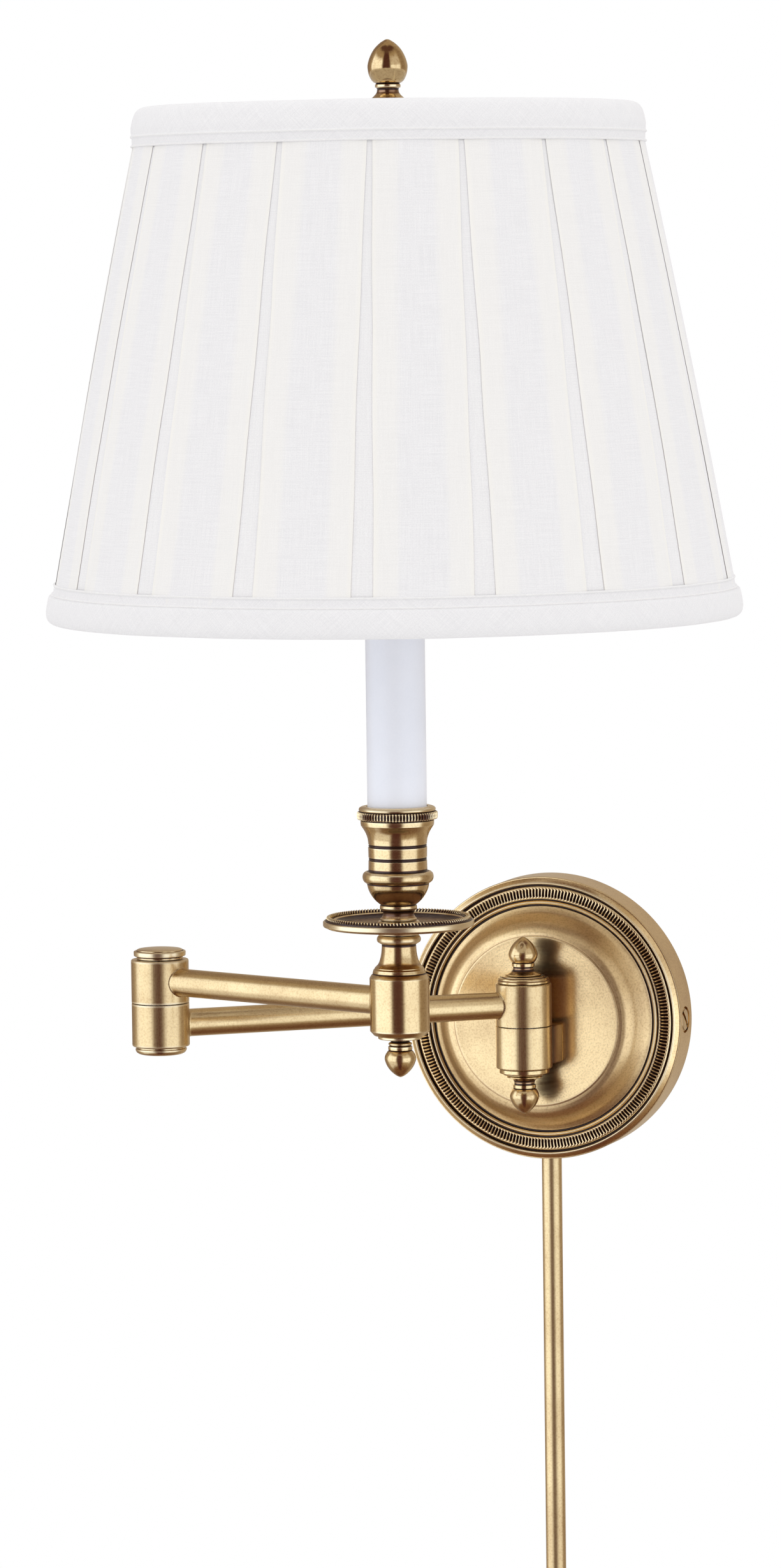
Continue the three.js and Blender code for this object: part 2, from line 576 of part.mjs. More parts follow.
function addCandle(post) {
  add(post, 'post_finial', upsideDown(join(
    acornFinial(3.4, 5.6), pipe(9.8, 2.5, -1.3, 0.2, ROUND))).translate(0, 0, 14.4), ANTIQUE_BRASS);
  const window = alongX(rod(2.5, 0, 8, 8)).rotateZ(
    Math.PI + THREE.MathUtils.degToRad(LOWER_ARM_ANGLE + ELBOW_ANGLE)).translate(0, 0, UPPER_ARM_Z);
  add(post, 'post_pipe', cut(pipe(PIPE_RADIUS, PIPE_BORE, 16, 232), window), ZINC_STEEL);
  add(post, 'post_lead', rod(LEAD_RADIUS, 24, 236, 8), LEAD_BROWN);
  add(post, 'bobeche', bobeche().translate(0, 0, BOBECHE_Z), ANTIQUE_BRASS);
  add(post, 'candle_cup', candleCup(), ANTIQUE_BRASS);
  add(post, 'cup_nut', hexNut(15, KNUCKLE_BORE, 3.4).translate(0, 0, CUP_Z + 22.9), ZINC_STEEL);
  add(post, 'candle_sleeve',
    pipe(SLEEVE_RADIUS, SLEEVE_BORE, SLEEVE_BOTTOM_Z, SLEEVE_TOP_Z, ROUND), CANDLE_WHITE);
}

function addLampholder(post) {
  add(post, 'harp_saddle', harpSaddle(), ANTIQUE_BRASS);
  add(post, 'harp', harp(), ANTIQUE_BRASS);
  ['left', 'right'].forEach((name, i) => {
    const x = (2 * i - 1) * (SADDLE_HALF_WIDTH - 0.75);
    const ferrule = pipe(3.2, HARP_WIRE_RADIUS + GAP, 0, 11);
    add(post, `harp_ferrule_${name}`,
      ferrule.translate(x, 0, SLEEVE_TOP_Z + 15 + 2 * GAP), ANTIQUE_BRASS);
  });
  add(post, 'socket_cap', socketCap(), ANTIQUE_BRASS);
  add(post, 'socket_shell', socketShell(), ANTIQUE_BRASS);
  add(post, 'socket_insulator', socketInsulator(), INSULATOR);
  add(post, 'socket_screw_shell', socketScrewShell(), CAP_ALUMINIUM);
  add(post, 'switch_key',
    switchKey().rotateX(Math.PI / 2).translate(0, 0, SOCKET_Z + 27), INSULATOR);
  add(post, 'bulb_base', bulbBase(), CAP_ALUMINIUM);
  add(post, 'bulb_glass', bulbGlass(), BULB_WHITE);
}

function addShade(post) {
  const [z0, z1] = [SHADE_BOTTOM_Z, SHADE_TOP_Z];
  const [below, above] = [z0 + TRIM_HEIGHT, z1 - TRIM_HEIGHT];
  add(post, 'shade_fabric', coneShell(z0 + 2, z1 - 0.5, 0, SHADE_SKIN), SHADE_CLOTH);
  add(post, 'shade_lining', coneShell(z0 + 2.5, z1 - 1, -SHADE_SKIN - GAP, 0.7), LINING_WHITE);
  add(post, 'shade_trim_upper', shadeTrim(above, z1, [
    [113.2, above], [112.6, z1 - 5], [111.6, z1 - 1.2], [110.2, z1],
  ]), SHADE_CLOTH);
  add(post, 'shade_trim_lower', shadeTrim(z0, below, [
    [153.4, z0], [154.0, z0 + 3], [153.7, z0 + 8], [151.3, below],
  ]), SHADE_CLOTH);
  add(post, 'shade_spider', shadeSpider(), FRAME_WHITE);
  add(post, 'shade_ring_upper',
    ring(shadeRadius(z1 - 2) - RING_INSET, RING_WIRE_RADIUS, HARP_SEAT_Z + 1), FRAME_WHITE);
  add(post, 'shade_ring_lower',
    ring(shadeRadius(z0 + 4) - RING_INSET, RING_WIRE_RADIUS, z0 + 4), FRAME_WHITE);
  add(post, 'shade_finial', shadeFinial(), ANTIQUE_BRASS);
}

addWallAssembly();
addCordCover();
addLowerArm();

export default sconce;
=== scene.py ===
"""Swing arm wall sconce: the looks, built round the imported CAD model.

Outlines are in millimetres, [radius, height] above the foot of the CAD node that a
piece stands for. The row frame is in metres, +Z up, with the wall on y = 0.
"""

import json
import math

import bmesh
import bpy
import numpy as np
from mathutils import Matrix, Vector

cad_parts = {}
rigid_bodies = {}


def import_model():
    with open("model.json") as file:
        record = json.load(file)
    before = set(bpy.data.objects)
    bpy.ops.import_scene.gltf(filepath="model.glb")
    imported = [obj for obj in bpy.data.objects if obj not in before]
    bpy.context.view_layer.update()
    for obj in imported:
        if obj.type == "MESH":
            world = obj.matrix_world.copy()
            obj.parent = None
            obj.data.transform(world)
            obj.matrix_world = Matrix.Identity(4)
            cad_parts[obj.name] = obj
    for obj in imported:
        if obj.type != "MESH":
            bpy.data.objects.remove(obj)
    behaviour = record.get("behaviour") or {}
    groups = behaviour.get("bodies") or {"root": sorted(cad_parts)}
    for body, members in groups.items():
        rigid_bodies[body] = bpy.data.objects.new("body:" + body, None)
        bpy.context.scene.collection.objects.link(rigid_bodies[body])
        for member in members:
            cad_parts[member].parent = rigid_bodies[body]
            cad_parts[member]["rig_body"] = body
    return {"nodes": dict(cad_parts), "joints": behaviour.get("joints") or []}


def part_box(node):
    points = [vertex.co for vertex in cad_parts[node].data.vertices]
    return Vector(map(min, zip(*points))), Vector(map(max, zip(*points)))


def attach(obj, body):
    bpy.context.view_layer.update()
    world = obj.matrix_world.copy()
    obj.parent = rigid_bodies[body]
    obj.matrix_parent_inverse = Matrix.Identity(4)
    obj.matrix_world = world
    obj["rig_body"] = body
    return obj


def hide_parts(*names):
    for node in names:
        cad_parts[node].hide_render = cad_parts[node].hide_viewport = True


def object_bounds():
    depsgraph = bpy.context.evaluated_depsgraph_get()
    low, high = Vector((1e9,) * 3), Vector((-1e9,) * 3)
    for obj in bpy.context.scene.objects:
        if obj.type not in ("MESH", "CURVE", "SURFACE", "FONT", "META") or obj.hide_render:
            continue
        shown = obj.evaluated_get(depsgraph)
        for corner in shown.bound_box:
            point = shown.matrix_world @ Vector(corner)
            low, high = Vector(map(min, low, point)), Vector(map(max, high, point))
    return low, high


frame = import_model()
CAD_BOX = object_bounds()

MM = 0.001
TAU = 2 * math.pi

JOINT_PLACE = {j["name"]: Vector(j["pos_m"]) for j in frame["joints"]}
WALL_HINGE = JOINT_PLACE["wall_swing"]
ELBOW = JOINT_PLACE["elbow_swing"]
POST = JOINT_PLACE["shade_turn"]
BODY_OF = {name: node["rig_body"] for name, node in frame["nodes"].items()}

SEGMENTS = 128          # steps round a turned piece
ARC_STEPS = 5           # points on the small round of an outline's corner
CAVITY_REACH = 0.9      # mm either side, over which a hollow in an outline is felt
RECESS_SHADE = 0.5             # cavity value that paints shade into a gap, a slot or a groove
SPIGOT = 5              # mm that the foot of a cap or a finial screws into the pipe


def low_z(node):
    """Height of a CAD node's lowest point, in mm."""
    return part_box(node)[0].z / MM


def high_z(node):
    """Height of a CAD node's highest point, in mm."""
    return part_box(node)[1].z / MM


def middle_z(node):
    """Height of a CAD node's middle, in mm."""
    return (low_z(node) + high_z(node)) / 2


def height_of(node):
    """How tall a CAD node is, in mm."""
    return high_z(node) - low_z(node)


def box_mm(node):
    """The lowest and the highest corner of a CAD node, in mm."""
    return [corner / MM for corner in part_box(node)]


def in_scene(name, data):
    """A new object, linked to the scene."""
    made = bpy.data.objects.new(name, data)
    bpy.context.scene.collection.objects.link(made)
    return made


# ---- camera and light ----

CAMERA_PLACE = (0.850, -2.798, 0.359)   # in metres
CAMERA_YAW = math.radians(18.41)
CAMERA_PITCH = math.radians(-4.85)
CAMERA_ROLL = math.radians(-0.75)
CAMERA_LENS = 141.5     # in mm, for a sensor of CAMERA_SENSOR
CAMERA_SENSOR = 36.0


def make_camera():
    data = bpy.data.cameras.new("camera")
    data.sensor_width = CAMERA_SENSOR
    data.lens = CAMERA_LENS
    data.clip_start, data.clip_end = 0.1, 50.0
    camera = in_scene("camera", data)
    turn = (
        Matrix.Rotation(CAMERA_YAW, 4, "Z")
        @ Matrix.Rotation(math.pi / 2 + CAMERA_PITCH, 4, "X")
        @ Matrix.Rotation(CAMERA_ROLL, 4, "Z")
    )
    camera.matrix_world = Matrix.Translation(CAMERA_PLACE) @ turn
    bpy.context.scene.camera = camera


class Tree:
    """A short way to write a node tree."""

    def __init__(self, tree):
        self.tree = tree

    def add(self, kind, inputs=None, **settings):
        made = self.tree.nodes.new("ShaderNode" + kind)
        for name, value in settings.items():
            setattr(made, name, value)
        for key, value in (inputs or {}).items():
            if isinstance(value, bpy.types.NodeSocket):
                self.tree.links.new(value, made.inputs[key])
            else:
                made.inputs[key].default_value = value
        return made

    def place(self, kind="Object"):
        """Where on the object, or in the world, a colour is asked for."""
        return self.add("TexCoord").outputs[kind]

    def point_value(self, name):
        """A value that the mesh carries at its points."""
        return self.add("Attribute", attribute_name=name).outputs["Fac"]

    def math(self, operation, a, b=0.0, c=0.0):
        return self.add("Math", {0: a, 1: b, 2: c}, operation=operation).outputs[0]

    def ramp(self, value, low, high, to_low=0.0, to_high=1.0):
        """Value taken smoothly from low..high to to_low..to_high."""
        span = {"From Min": low, "From Max": high, "To Min": to_low, "To Max": to_high}
        made = self.add("MapRange", {"Value": value, **span}, interpolation_type="SMOOTHSTEP")
        return made.outputs["Result"]

    def mix(self, factor, a, b):
        made = self.add("Mix", {"Factor": factor}, data_type="RGBA")
        for socket, value in ((made.inputs[6], a), (made.inputs[7], b)):
            if isinstance(value, bpy.types.NodeSocket):
                self.tree.links.new(value, socket)
            else:
                socket.default_value = (*value, 1.0)
        return made.outputs[2]


def panel(tree, azimuth, height, centre, half_width, low, high, soft):
    """A soft-edged light panel round the object, in degrees from the camera's direction."""
    off = tree.math("ABSOLUTE", tree.math("SUBTRACT", azimuth, centre))
    across = tree.ramp(off, half_width + soft, half_width - soft)
    above = tree.ramp(height, low - soft, low + soft)
    below = tree.ramp(height, high + soft, high - soft)
    return tree.math("MULTIPLY", across, tree.math("MULTIPLY", above, below))


# What polished metal mirrors: the colours, then the light panels and the dark gaps between
# them, in degrees from the camera's direction, each with its share of the full colour.
MIRRORED_DARK = (0.044, 0.009, 0.012)
MIRRORED_GROUND = (0.12, 0.065, 0.04)
MIRRORED_MID = (0.29, 0.245, 0.19)
MIRRORED_BRIGHT = (0.92, 1.03, 1.22)
MIRROR_STRENGTH = 1.75
LIGHT_PANELS = (        # centre, half width, lowest, highest, share
    (-69, 37, -24, 36, 1.0),
    (-69, 37, -52, -24, 0.45),
    (49, 31, -34, 14, 0.82),
    (49, 31, 14, 44, 0.3),
)
DARK_GAPS = ((-7, 22, 0.92), (-150, 24, 0.4), (106, 18, 0.25))      # centre, half width, share


def make_studio():
    """A soft white tent for matt surfaces. Polished metal mirrors a darker room instead, with
    light panels on the left and on the right and dark gaps between them."""
    world = bpy.data.worlds.new("studio")
    bpy.context.scene.world = world
    world.use_nodes = True
    world.node_tree.nodes.clear()
    tree = Tree(world.node_tree)
    away = tree.place("Generated")
    turned_round = tree.add(
        "VectorRotate", {"Vector": away, "Angle": -CAMERA_YAW}, rotation_type="Z_AXIS"
    ).outputs["Vector"]
    axes = tree.add("SeparateXYZ", {0: turned_round})
    degrees = 180 / math.pi
    azimuth = tree.math(
        "MULTIPLY",
        tree.math("ARCTAN2", axes.outputs["X"], tree.math("MULTIPLY", axes.outputs["Y"], -1.0)),
        degrees,
    )
    height = tree.math("MULTIPLY", tree.math("ARCSINE", axes.outputs["Z"]), degrees)
    mirrored = tree.mix(tree.ramp(height, -66, -34), MIRRORED_GROUND, MIRRORED_MID)
    overhead = panel(tree, azimuth, height, 0, 115, 58, 90, 8.0)
    mirrored = tree.mix(tree.math("MULTIPLY", overhead, 0.85), mirrored, MIRRORED_DARK)
    for centre, half_width, low, high, share in LIGHT_PANELS:
        shape = panel(tree, azimuth, height, centre, half_width, low, high, 7.0)
        mirrored = tree.mix(tree.math("MULTIPLY", shape, share), mirrored, MIRRORED_BRIGHT)
    for centre, half_width, share in DARK_GAPS:
        gap = panel(tree, azimuth, height, centre, half_width, -80, 60, 6.0)
        mirrored = tree.mix(tree.math("MULTIPLY", gap, share), mirrored, MIRRORED_DARK)
    tent = tree.add(
        "Background",
        {"Color": (1.0, 0.995, 0.99, 1), "Strength": tree.ramp(height, -60, 75, 0.94, 1.18)},
    )
    mirror = tree.add("Background", {"Color": mirrored, "Strength": MIRROR_STRENGTH})
    seen = tree.add("Background", {"Color": (1, 1, 1, 1), "Strength": 1.0})
    ray = tree.add("LightPath").outputs
    glossy, direct = ray["Is Glossy Ray"], ray["Is Camera Ray"]
    lit = tree.add("MixShader", {0: glossy, 1: tent.outputs[0], 2: mirror.outputs[0]})
    both = tree.add("MixShader", {0: direct, 1: lit.outputs[0], 2: seen.outputs[0]})
    tree.add("OutputWorld", {"Surface": both.outputs[0]})
    world.cycles.sampling_method = "NONE"
    bpy.context.scene.view_settings.view_transform = "Standard"


FLOOR_DROP = 0.10       # in metres, as is the radius
FLOOR_RADIUS = 0.9
FLOOR_SIDES = 64


def make_floor():
    """A pale round floor that fades out towards its edge."""
    z = CAD_BOX[0].z - FLOOR_DROP
    turns = [TAU * i / FLOOR_SIDES for i in range(FLOOR_SIDES)]
    rim = [(FLOOR_RADIUS * math.cos(a), FLOOR_RADIUS * math.sin(a), z) for a in turns]
    points = [(0, 0, z), *rim]
    faces = [(0, i + 1, (i + 1) % FLOOR_SIDES + 1) for i in range(FLOOR_SIDES)]
    mesh = bpy.data.meshes.new("floor")
    mesh.from_pydata(points, [], faces)
    floor = in_scene("floor", mesh)
    material = bpy.data.materials.new("pale_floor")
    material.use_nodes = True
    material.node_tree.nodes.clear()
    tree = Tree(material.node_tree)
    place = tree.place()
    flat = tree.add("Mapping", {"Vector": place, "Scale": (1, 1, 0)}).outputs[0]
    reach = tree.add("VectorMath", {0: flat}, operation="LENGTH").outputs["Value"]
    fade = tree.ramp(reach, 0.45 * FLOOR_RADIUS, FLOOR_RADIUS)
    pale = tree.add("BsdfDiffuse", {"Color": (0.93, 0.93, 0.93, 1)})
    clear = tree.add("BsdfTransparent")
    both = tree.add("MixShader", {0: fade, 1: pale.outputs[0], 2: clear.outputs[0]})
    tree.add("OutputMaterial", {"Surface": both.outputs[0]})
    mesh.materials.append(material)
    floor.visible_glossy = False


# ---- materials ----


def material_tree(name):
    """A new material, its tree and its Principled shader."""
    material = bpy.data.materials.new(name)
    material.use_nodes = True
    tree = Tree(material.node_tree)
    shader = material.node_tree.nodes["Principled BSDF"]
    return material, tree, shader


def link_to(tree, shader, **sockets):
    for name, socket in sockets.items():
        tree.tree.links.new(socket, shader.inputs[name.replace("_", " ")])


def noise(tree, place, scale, detail=3.0, roughness=0.55):
    made = tree.add(
        "TexNoise",
        {"Vector": place, "Scale": scale, "Detail": detail, "Roughness": roughness},
    )
    return made.outputs["Fac"]


BRASS = (0.72, 0.53, 0.262)
BRASS_PALE = (0.84, 0.605, 0.295)       # clean spun brass, on the canopy
BRASS_DEEP = (0.46, 0.28, 0.115)        # tarnished
BRASS_WORN = (0.90, 0.76, 0.50)         # rubbed bare on the edges
BRASS_RED = (0.36, 0.13, 0.06)          # round a dark hollow, and round painted shade
PATINA_AND_SHADE = (0.034, 0.014, 0.009)          # in a hollow, and painted shade where the cavity value is raised for it
SATIN_ROUGHER = 0.34    # added to the roughness of brass where its satin value is 1


def brass(name, roughness, stretch, tarnish=0.35, clean=BRASS):
    """Antique brass: fine tool marks, a mottled lacquer, dark hollows and bright edges. The
    stretch is how finely the marks lie along and across the UV map.

    The point value cavity is above 0 in a hollow and below 0 on an edge, and satin is how much
    rougher than the rest a place is."""
    material, tree, shader = material_tree(name)
    place = tree.place()
    marks_place = tree.add("Mapping", {"Vector": tree.place("UV"), "Scale": stretch}).outputs[0]
    marks = noise(tree, marks_place, 1.0, 4.0, 0.6)
    clouds = noise(tree, place, 28.0, 4.0, 0.6)
    specks = noise(tree, place, 1100.0, 2.0, 0.6)
    # cavity also carries painted shade: on the wall side of the wall hinge, in screw seats and
    # slots and in fine grooves
    cavity = tree.point_value("cavity")
    satin = tree.point_value("satin")
    tarnished = tree.math("MULTIPLY", tree.ramp(clouds, 0.38, 0.72), tarnish)
    speckled = tree.math("MULTIPLY_ADD", tree.ramp(specks, 0.42, 0.72), 0.42, tarnished)
    colour = tree.mix(speckled, clean, BRASS_DEEP)
    worn = tree.ramp(cavity, -0.08, -0.36)
    colour = tree.mix(tree.math("MULTIPLY", worn, 0.6), colour, BRASS_WORN)
    colour = tree.mix(tree.ramp(cavity, 0.04, 0.2, 0.0, 0.85), colour, BRASS_RED)
    # hollow: patina in hollows together with painted shade, darkening the colour and roughening it
    hollow = tree.ramp(tree.math("MULTIPLY_ADD", clouds, 0.08, cavity), 0.09, 0.30, 0.0, 0.96)
    colour = tree.mix(hollow, colour, PATINA_AND_SHADE)
    rough = tree.math(
        "ADD",
        tree.ramp(marks, 0.3, 0.7, roughness - 0.03, roughness + 0.03),
        tree.math("MULTIPLY_ADD", hollow, 0.30, tree.math("MULTIPLY", tarnished, 0.10)),
    )
    matt = tree.math("MAXIMUM", satin, tree.math("MULTIPLY", worn, 0.35))
    rough = tree.math("MULTIPLY_ADD", matt, SATIN_ROUGHER, rough)
    bump = tree.add("Bump", {"Strength": 0.06, "Distance": 0.0001, "Height": marks})
    link_to(tree, shader, Base_Color=colour, Roughness=rough, Normal=bump.outputs[0])
    shader.inputs["Metallic"].default_value = 1.0
    shader.inputs["Coat Weight"].default_value = 0.5
    shader.inputs["Coat Roughness"].default_value = 0.12
    return material


def bare_metal(name, colour, dull, roughness):
    """Plain metal with a faint mottle, duller in its hollows."""
    material, tree, shader = material_tree(name)
    clouds = noise(tree, tree.place(), 160.0, 4.0)
    cavity = tree.point_value("cavity")
    shade = tree.math("MAXIMUM", tree.ramp(clouds, 0.35, 0.75), tree.ramp(cavity, 0.05, 0.3))
    link_to(
        tree,
        shader,
        Base_Color=tree.mix(shade, colour, dull),
        Roughness=tree.ramp(clouds, 0.3, 0.7, roughness, roughness + 0.14),
    )
    shader.inputs["Metallic"].default_value = 1.0
    return material


def moulded(name, colour, other, roughness, grain=700.0, bump_height=0.00004, coat=0.0):
    """Smooth moulded or enamelled surface with a fine orange-peel."""
    material, tree, shader = material_tree(name)
    place = tree.place()
    fine = noise(tree, place, grain, 3.0)
    broad = noise(tree, place, 22.0, 3.0)
    bump = tree.add("Bump", {"Strength": 0.35, "Distance": bump_height, "Height": fine})
    mottled = tree.math("MULTIPLY_ADD", fine, 0.45, tree.ramp(broad, 0.3, 0.7, -0.1, 0.4))
    link_to(
        tree,
        shader,
        Base_Color=tree.mix(mottled, colour, other),
        Roughness=tree.ramp(fine, 0.3, 0.7, roughness - 0.05, roughness + 0.08),
        Normal=bump.outputs[0],
    )
    shader.inputs["Coat Weight"].default_value = coat
    return material


CLOTH = (0.865, 0.858, 0.868)
CLOTH_SHADE = (0.775, 0.768, 0.785)     # between the threads
CLOTH_CREAM = (0.890, 0.870, 0.825)     # tint 1: where tucked cloth shows through and on the piping, and a painted highlight on the pleats' rolled edges
FOLD_SHADE = (0.80, 0.70, 0.60)         # painted shade deep in a fold and along a gap's edges: tint -1


def cloth(name, thread=0.00042, slub=0.5, bias=0.0):
    """Fine woven cloth: warp and weft threads with slubs, laid along the UV map in metres."""
    material, tree, shader = material_tree(name)
    flat = tree.place("UV")
    turned_cloth = tree.add(
        "VectorRotate", {"Vector": flat, "Angle": bias}, rotation_type="Z_AXIS"
    ).outputs["Vector"]
    axes = tree.add("SeparateXYZ", {0: turned_cloth})
    threads = []
    for axis in ("X", "Y"):
        along = tree.math("MULTIPLY", axes.outputs[axis], TAU / thread)
        threads.append(tree.math("SINE", along))
    weave = tree.math("MULTIPLY", threads[0], threads[1])
    slubs = []
    for stretch in ((2300.0, 60.0, 1.0), (60.0, 2300.0, 1.0)):
        drawn = tree.add("Mapping", {"Vector": turned_cloth, "Scale": stretch}).outputs[0]
        slubs.append(noise(tree, drawn, 1.0, 3.0))
    slubby = tree.math("MULTIPLY", tree.math("ADD", slubs[0], slubs[1]), slub)
    height = tree.math("MULTIPLY_ADD", weave, 0.35, slubby)
    fine = noise(tree, turned_cloth, 1700.0, 2.0)
    tint = tree.point_value("tint")
    uneven = tree.math("MULTIPLY_ADD", fine, 0.6, slubby)
    colour = tree.mix(tree.ramp(uneven, 0.55, 1.05), CLOTH, CLOTH_SHADE)
    # tint above 0: cream of doubled cloth and piping, with a painted highlight on the pleats'
    # rolled edges
    colour = tree.mix(tree.ramp(tint, 0.0, 1.0), colour, CLOTH_CREAM)
    # tint below 0: painted shade in the folds and along the gaps' edges
    colour = tree.mix(tree.ramp(tint, 0.0, -1.0, 0.0, 0.85), colour, FOLD_SHADE)
    bump = tree.add("Bump", {"Strength": 0.5, "Distance": 0.00010, "Height": height})
    link_to(tree, shader, Base_Color=colour, Normal=bump.outputs[0])
    shader.inputs["Roughness"].default_value = 0.85
    shader.inputs["Sheen Weight"].default_value = 0.15
    shader.inputs["Sheen Roughness"].default_value = 0.5
    return material


make_camera()
make_studio()
make_floor()

TURNED_BRASS = brass("turned_brass", 0.17, (14.0, 2600.0, 1.0))
SATIN_BRASS = brass("satin_brass", 0.27, (2200.0, 14.0, 1.0), 0.4)
SPUN_BRASS = brass("spun_brass", 0.19, (10.0, 1900.0, 1.0), 0.45, BRASS_PALE)
BRUSHED_BRASS = brass("brushed_brass", 0.25, (2600.0, 12.0, 1.0), 0.45)
AMBER_BRASS = brass("amber_brass", 0.09, (14.0, 2600.0, 1.0), 0.5)
ZINC = bare_metal("zinc_plate", (0.62, 0.62, 0.60), (0.40, 0.40, 0.38), 0.32)
ALUMINIUM = bare_metal("rolled_aluminium", (0.78, 0.79, 0.80), (0.55, 0.56, 0.57), 0.28)
CANDLE = moulded(
    "candle_sleeve_white", (0.875, 0.895, 0.965), (0.79, 0.815, 0.90), 0.42, 1100.0
)
ENAMEL = moulded("white_enamel", (0.78, 0.77, 0.74), (0.70, 0.68, 0.64), 0.35)
BLACK_PLASTIC = moulded("moulded_black", (0.020, 0.017, 0.015), (0.035, 0.030, 0.026), 0.38)
BROWN_LEAD = moulded("brown_lead", (0.085, 0.040, 0.020), (0.12, 0.06, 0.03), 0.40)
FROSTED = moulded(
    "white_lamp_glass", (0.90, 0.90, 0.88), (0.84, 0.84, 0.82), 0.14, 300.0, 0.00001, 0.6
)
SHADE_CLOTH = cloth("pleated_cloth")
BIAS_CLOTH = cloth("bias_cloth", bias=math.pi / 4)
LINING = cloth("smooth_lining", thread=0.0003, slub=0.25)


# ---- outlines ----


def rounded(points, fillet=0.3, closed=True):
    """An outline with its corners rounded. A point is (radius, height), or has its own fillet
    as the third number."""
    out = []
    count = len(points)
    for i, point in enumerate(points):
        here = np.array(point[:2], float)
        if not closed and i in (0, count - 1):
            out.append(here)
            continue
        radius = point[2] if len(point) == 3 else fillet
        before = np.array(points[i - 1][:2], float) - here
        after = np.array(points[(i + 1) % count][:2], float) - here
        long_a, long_b = np.linalg.norm(before), np.linalg.norm(after)
        half = math.acos(np.clip(before @ after / (long_a * long_b), -1, 1)) / 2
        if radius == 0 or half > math.radians(80):
            out.append(here)
            continue
        back = min(radius / math.tan(half), 0.45 * long_a, 0.45 * long_b)
        start, end = here + before * back / long_a, here + after * back / long_b
        for t in np.linspace(0, 1, ARC_STEPS):
            out.append((1 - t) ** 2 * start + 2 * t * (1 - t) * here + t**2 * end)
    return np.array(out)


def smooth(points, steps=6):
    """A smooth curve through the points, as a list of points of the same kind."""
    p = [np.array(q, float) for q in points]
    p = [2 * p[0] - p[1], *p, 2 * p[-1] - p[-2]]
    out = []
    for a, b, c, d in zip(p, p[1:], p[2:], p[3:]):
        for t in np.arange(steps) / steps:
            square, cube = 2 * a - 5 * b + 4 * c - d, 3 * b - a - 3 * c + d
            out.append(0.5 * (2 * b + (c - a) * t + square * t**2 + cube * t**3))
    out.append(p[-2])
    return [tuple(float(x) for x in q) for q in out]


def circle(steps):
    """The angles of the steps of a full turn."""
    return np.arange(steps) * TAU / steps


def turned_points(radius, angles, height):
    """Points from a radius and an angle round Z, and a height."""
    sides = (radius * np.cos(angles), radius * np.sin(angles), height)
    return np.stack(np.broadcast_arrays(*sides), axis=-1)


def lengths_along(points):
    """How far along the line through the points each of them lies."""
    steps = np.linalg.norm(np.diff(points, axis=0), axis=1)
    return np.concatenate([[0], np.cumsum(steps)])


def ring_of(points):
    """The points with the first one again at the end."""
    return np.vstack([points, points[:1]])


def outline_cavity(outline, closed):
    """How hollow an outline is at each of its points: above 0 in a groove, below 0 on an edge.
    Returns that and the outward normals."""
    ring = ring_of(outline) if closed else outline
    along = lengths_along(ring)
    here = along[: len(outline)]
    sides = []
    for offset in (-CAVITY_REACH, CAVITY_REACH):
        at = here + offset
        at = at % along[-1] if closed else np.clip(at, 0, along[-1])
        sides.append(np.column_stack([np.interp(at, along, ring[:, k]) for k in (0, 1)]))
    tangent = sides[1] - sides[0]
    normal = np.column_stack([tangent[:, 1], -tangent[:, 0]])
    normal /= np.maximum(np.linalg.norm(normal, axis=1, keepdims=True), 1e-9)
    return (((sides[0] + sides[1]) / 2 - outline) * normal).sum(axis=1) / CAVITY_REACH, normal


def with_lands(outline, closed):
    """Adds points beside the ends of long straight runs, so that wear stays on the edges."""
    land = 1.1 * CAVITY_REACH
    out = []
    for i, here in enumerate(outline):
        out.append(here)
        if i == len(outline) - 1 and not closed:
            break
        run = outline[(i + 1) % len(outline)] - here
        length = np.linalg.norm(run)
        if length > 2.2 * land:
            out += [here + run * land / length, here + run * (1 - land / length)]
    return np.array(out)


# ---- mesh making ----


def new_mesh(name, points, faces, uvs=None, point_values=None):
    """A mesh from points in metres, with one UV per face corner and named point values."""
    mesh = bpy.data.meshes.new(name)
    mesh.from_pydata(np.asarray(points, float).tolist(), [], faces)
    if uvs is not None:
        layer = mesh.uv_layers.new(name="UVMap")
        layer.data.foreach_set("uv", np.asarray(uvs, np.float32).ravel())
    for key, values in (point_values or {}).items():
        attribute = mesh.attributes.new(key, "FLOAT", "POINT")
        attribute.data.foreach_set("value", np.asarray(values, np.float32).ravel())
    return mesh


def tidy(mesh, sharp=35.0):
    """Merges doubled points, turns the faces outward and shades them smooth up to a sharp edge."""
    work = bmesh.new()
    work.from_mesh(mesh)
    bmesh.ops.remove_doubles(work, verts=work.verts, dist=1e-7)
    bmesh.ops.dissolve_degenerate(work, edges=work.edges, dist=1e-8)
    bmesh.ops.recalc_face_normals(work, faces=work.faces)
    work.to_mesh(mesh)
    work.free()
    mesh.shade_smooth()
    mesh.set_sharp_from_angle(angle=math.radians(sharp))
    return mesh


def grid_faces(rows, columns, wrap_rows, wrap_columns):
    """Quads of a grid whose point (i, j) is number i * columns + j."""
    last_row = rows if wrap_rows else rows - 1
    last_column = columns if wrap_columns else columns - 1
    i, j = np.meshgrid(np.arange(last_row), np.arange(last_column), indexing="ij")
    i, j = i.ravel(), j.ravel()
    k, m = (i + 1) % rows, (j + 1) % columns
    quads = np.column_stack([i * columns + j, i * columns + m, k * columns + m, k * columns + j])
    corners = np.stack([i, j, i, j + 1, i + 1, j + 1, i + 1, j], axis=1).reshape(-1, 4, 2)
    return quads.tolist(), corners


def unrolled(corners, around, along):
    """The UVs of a turned grid, from the width of a column and the length along at each row."""
    return np.stack([corners[..., 1] * around, along[corners[..., 0]]], axis=-1)


def end_faces(rows, sides):
    """The two faces that close the ends of a grid of rows with that many sides."""
    return [list(range(sides))[::-1], [(rows - 1) * sides + j for j in range(sides)]]


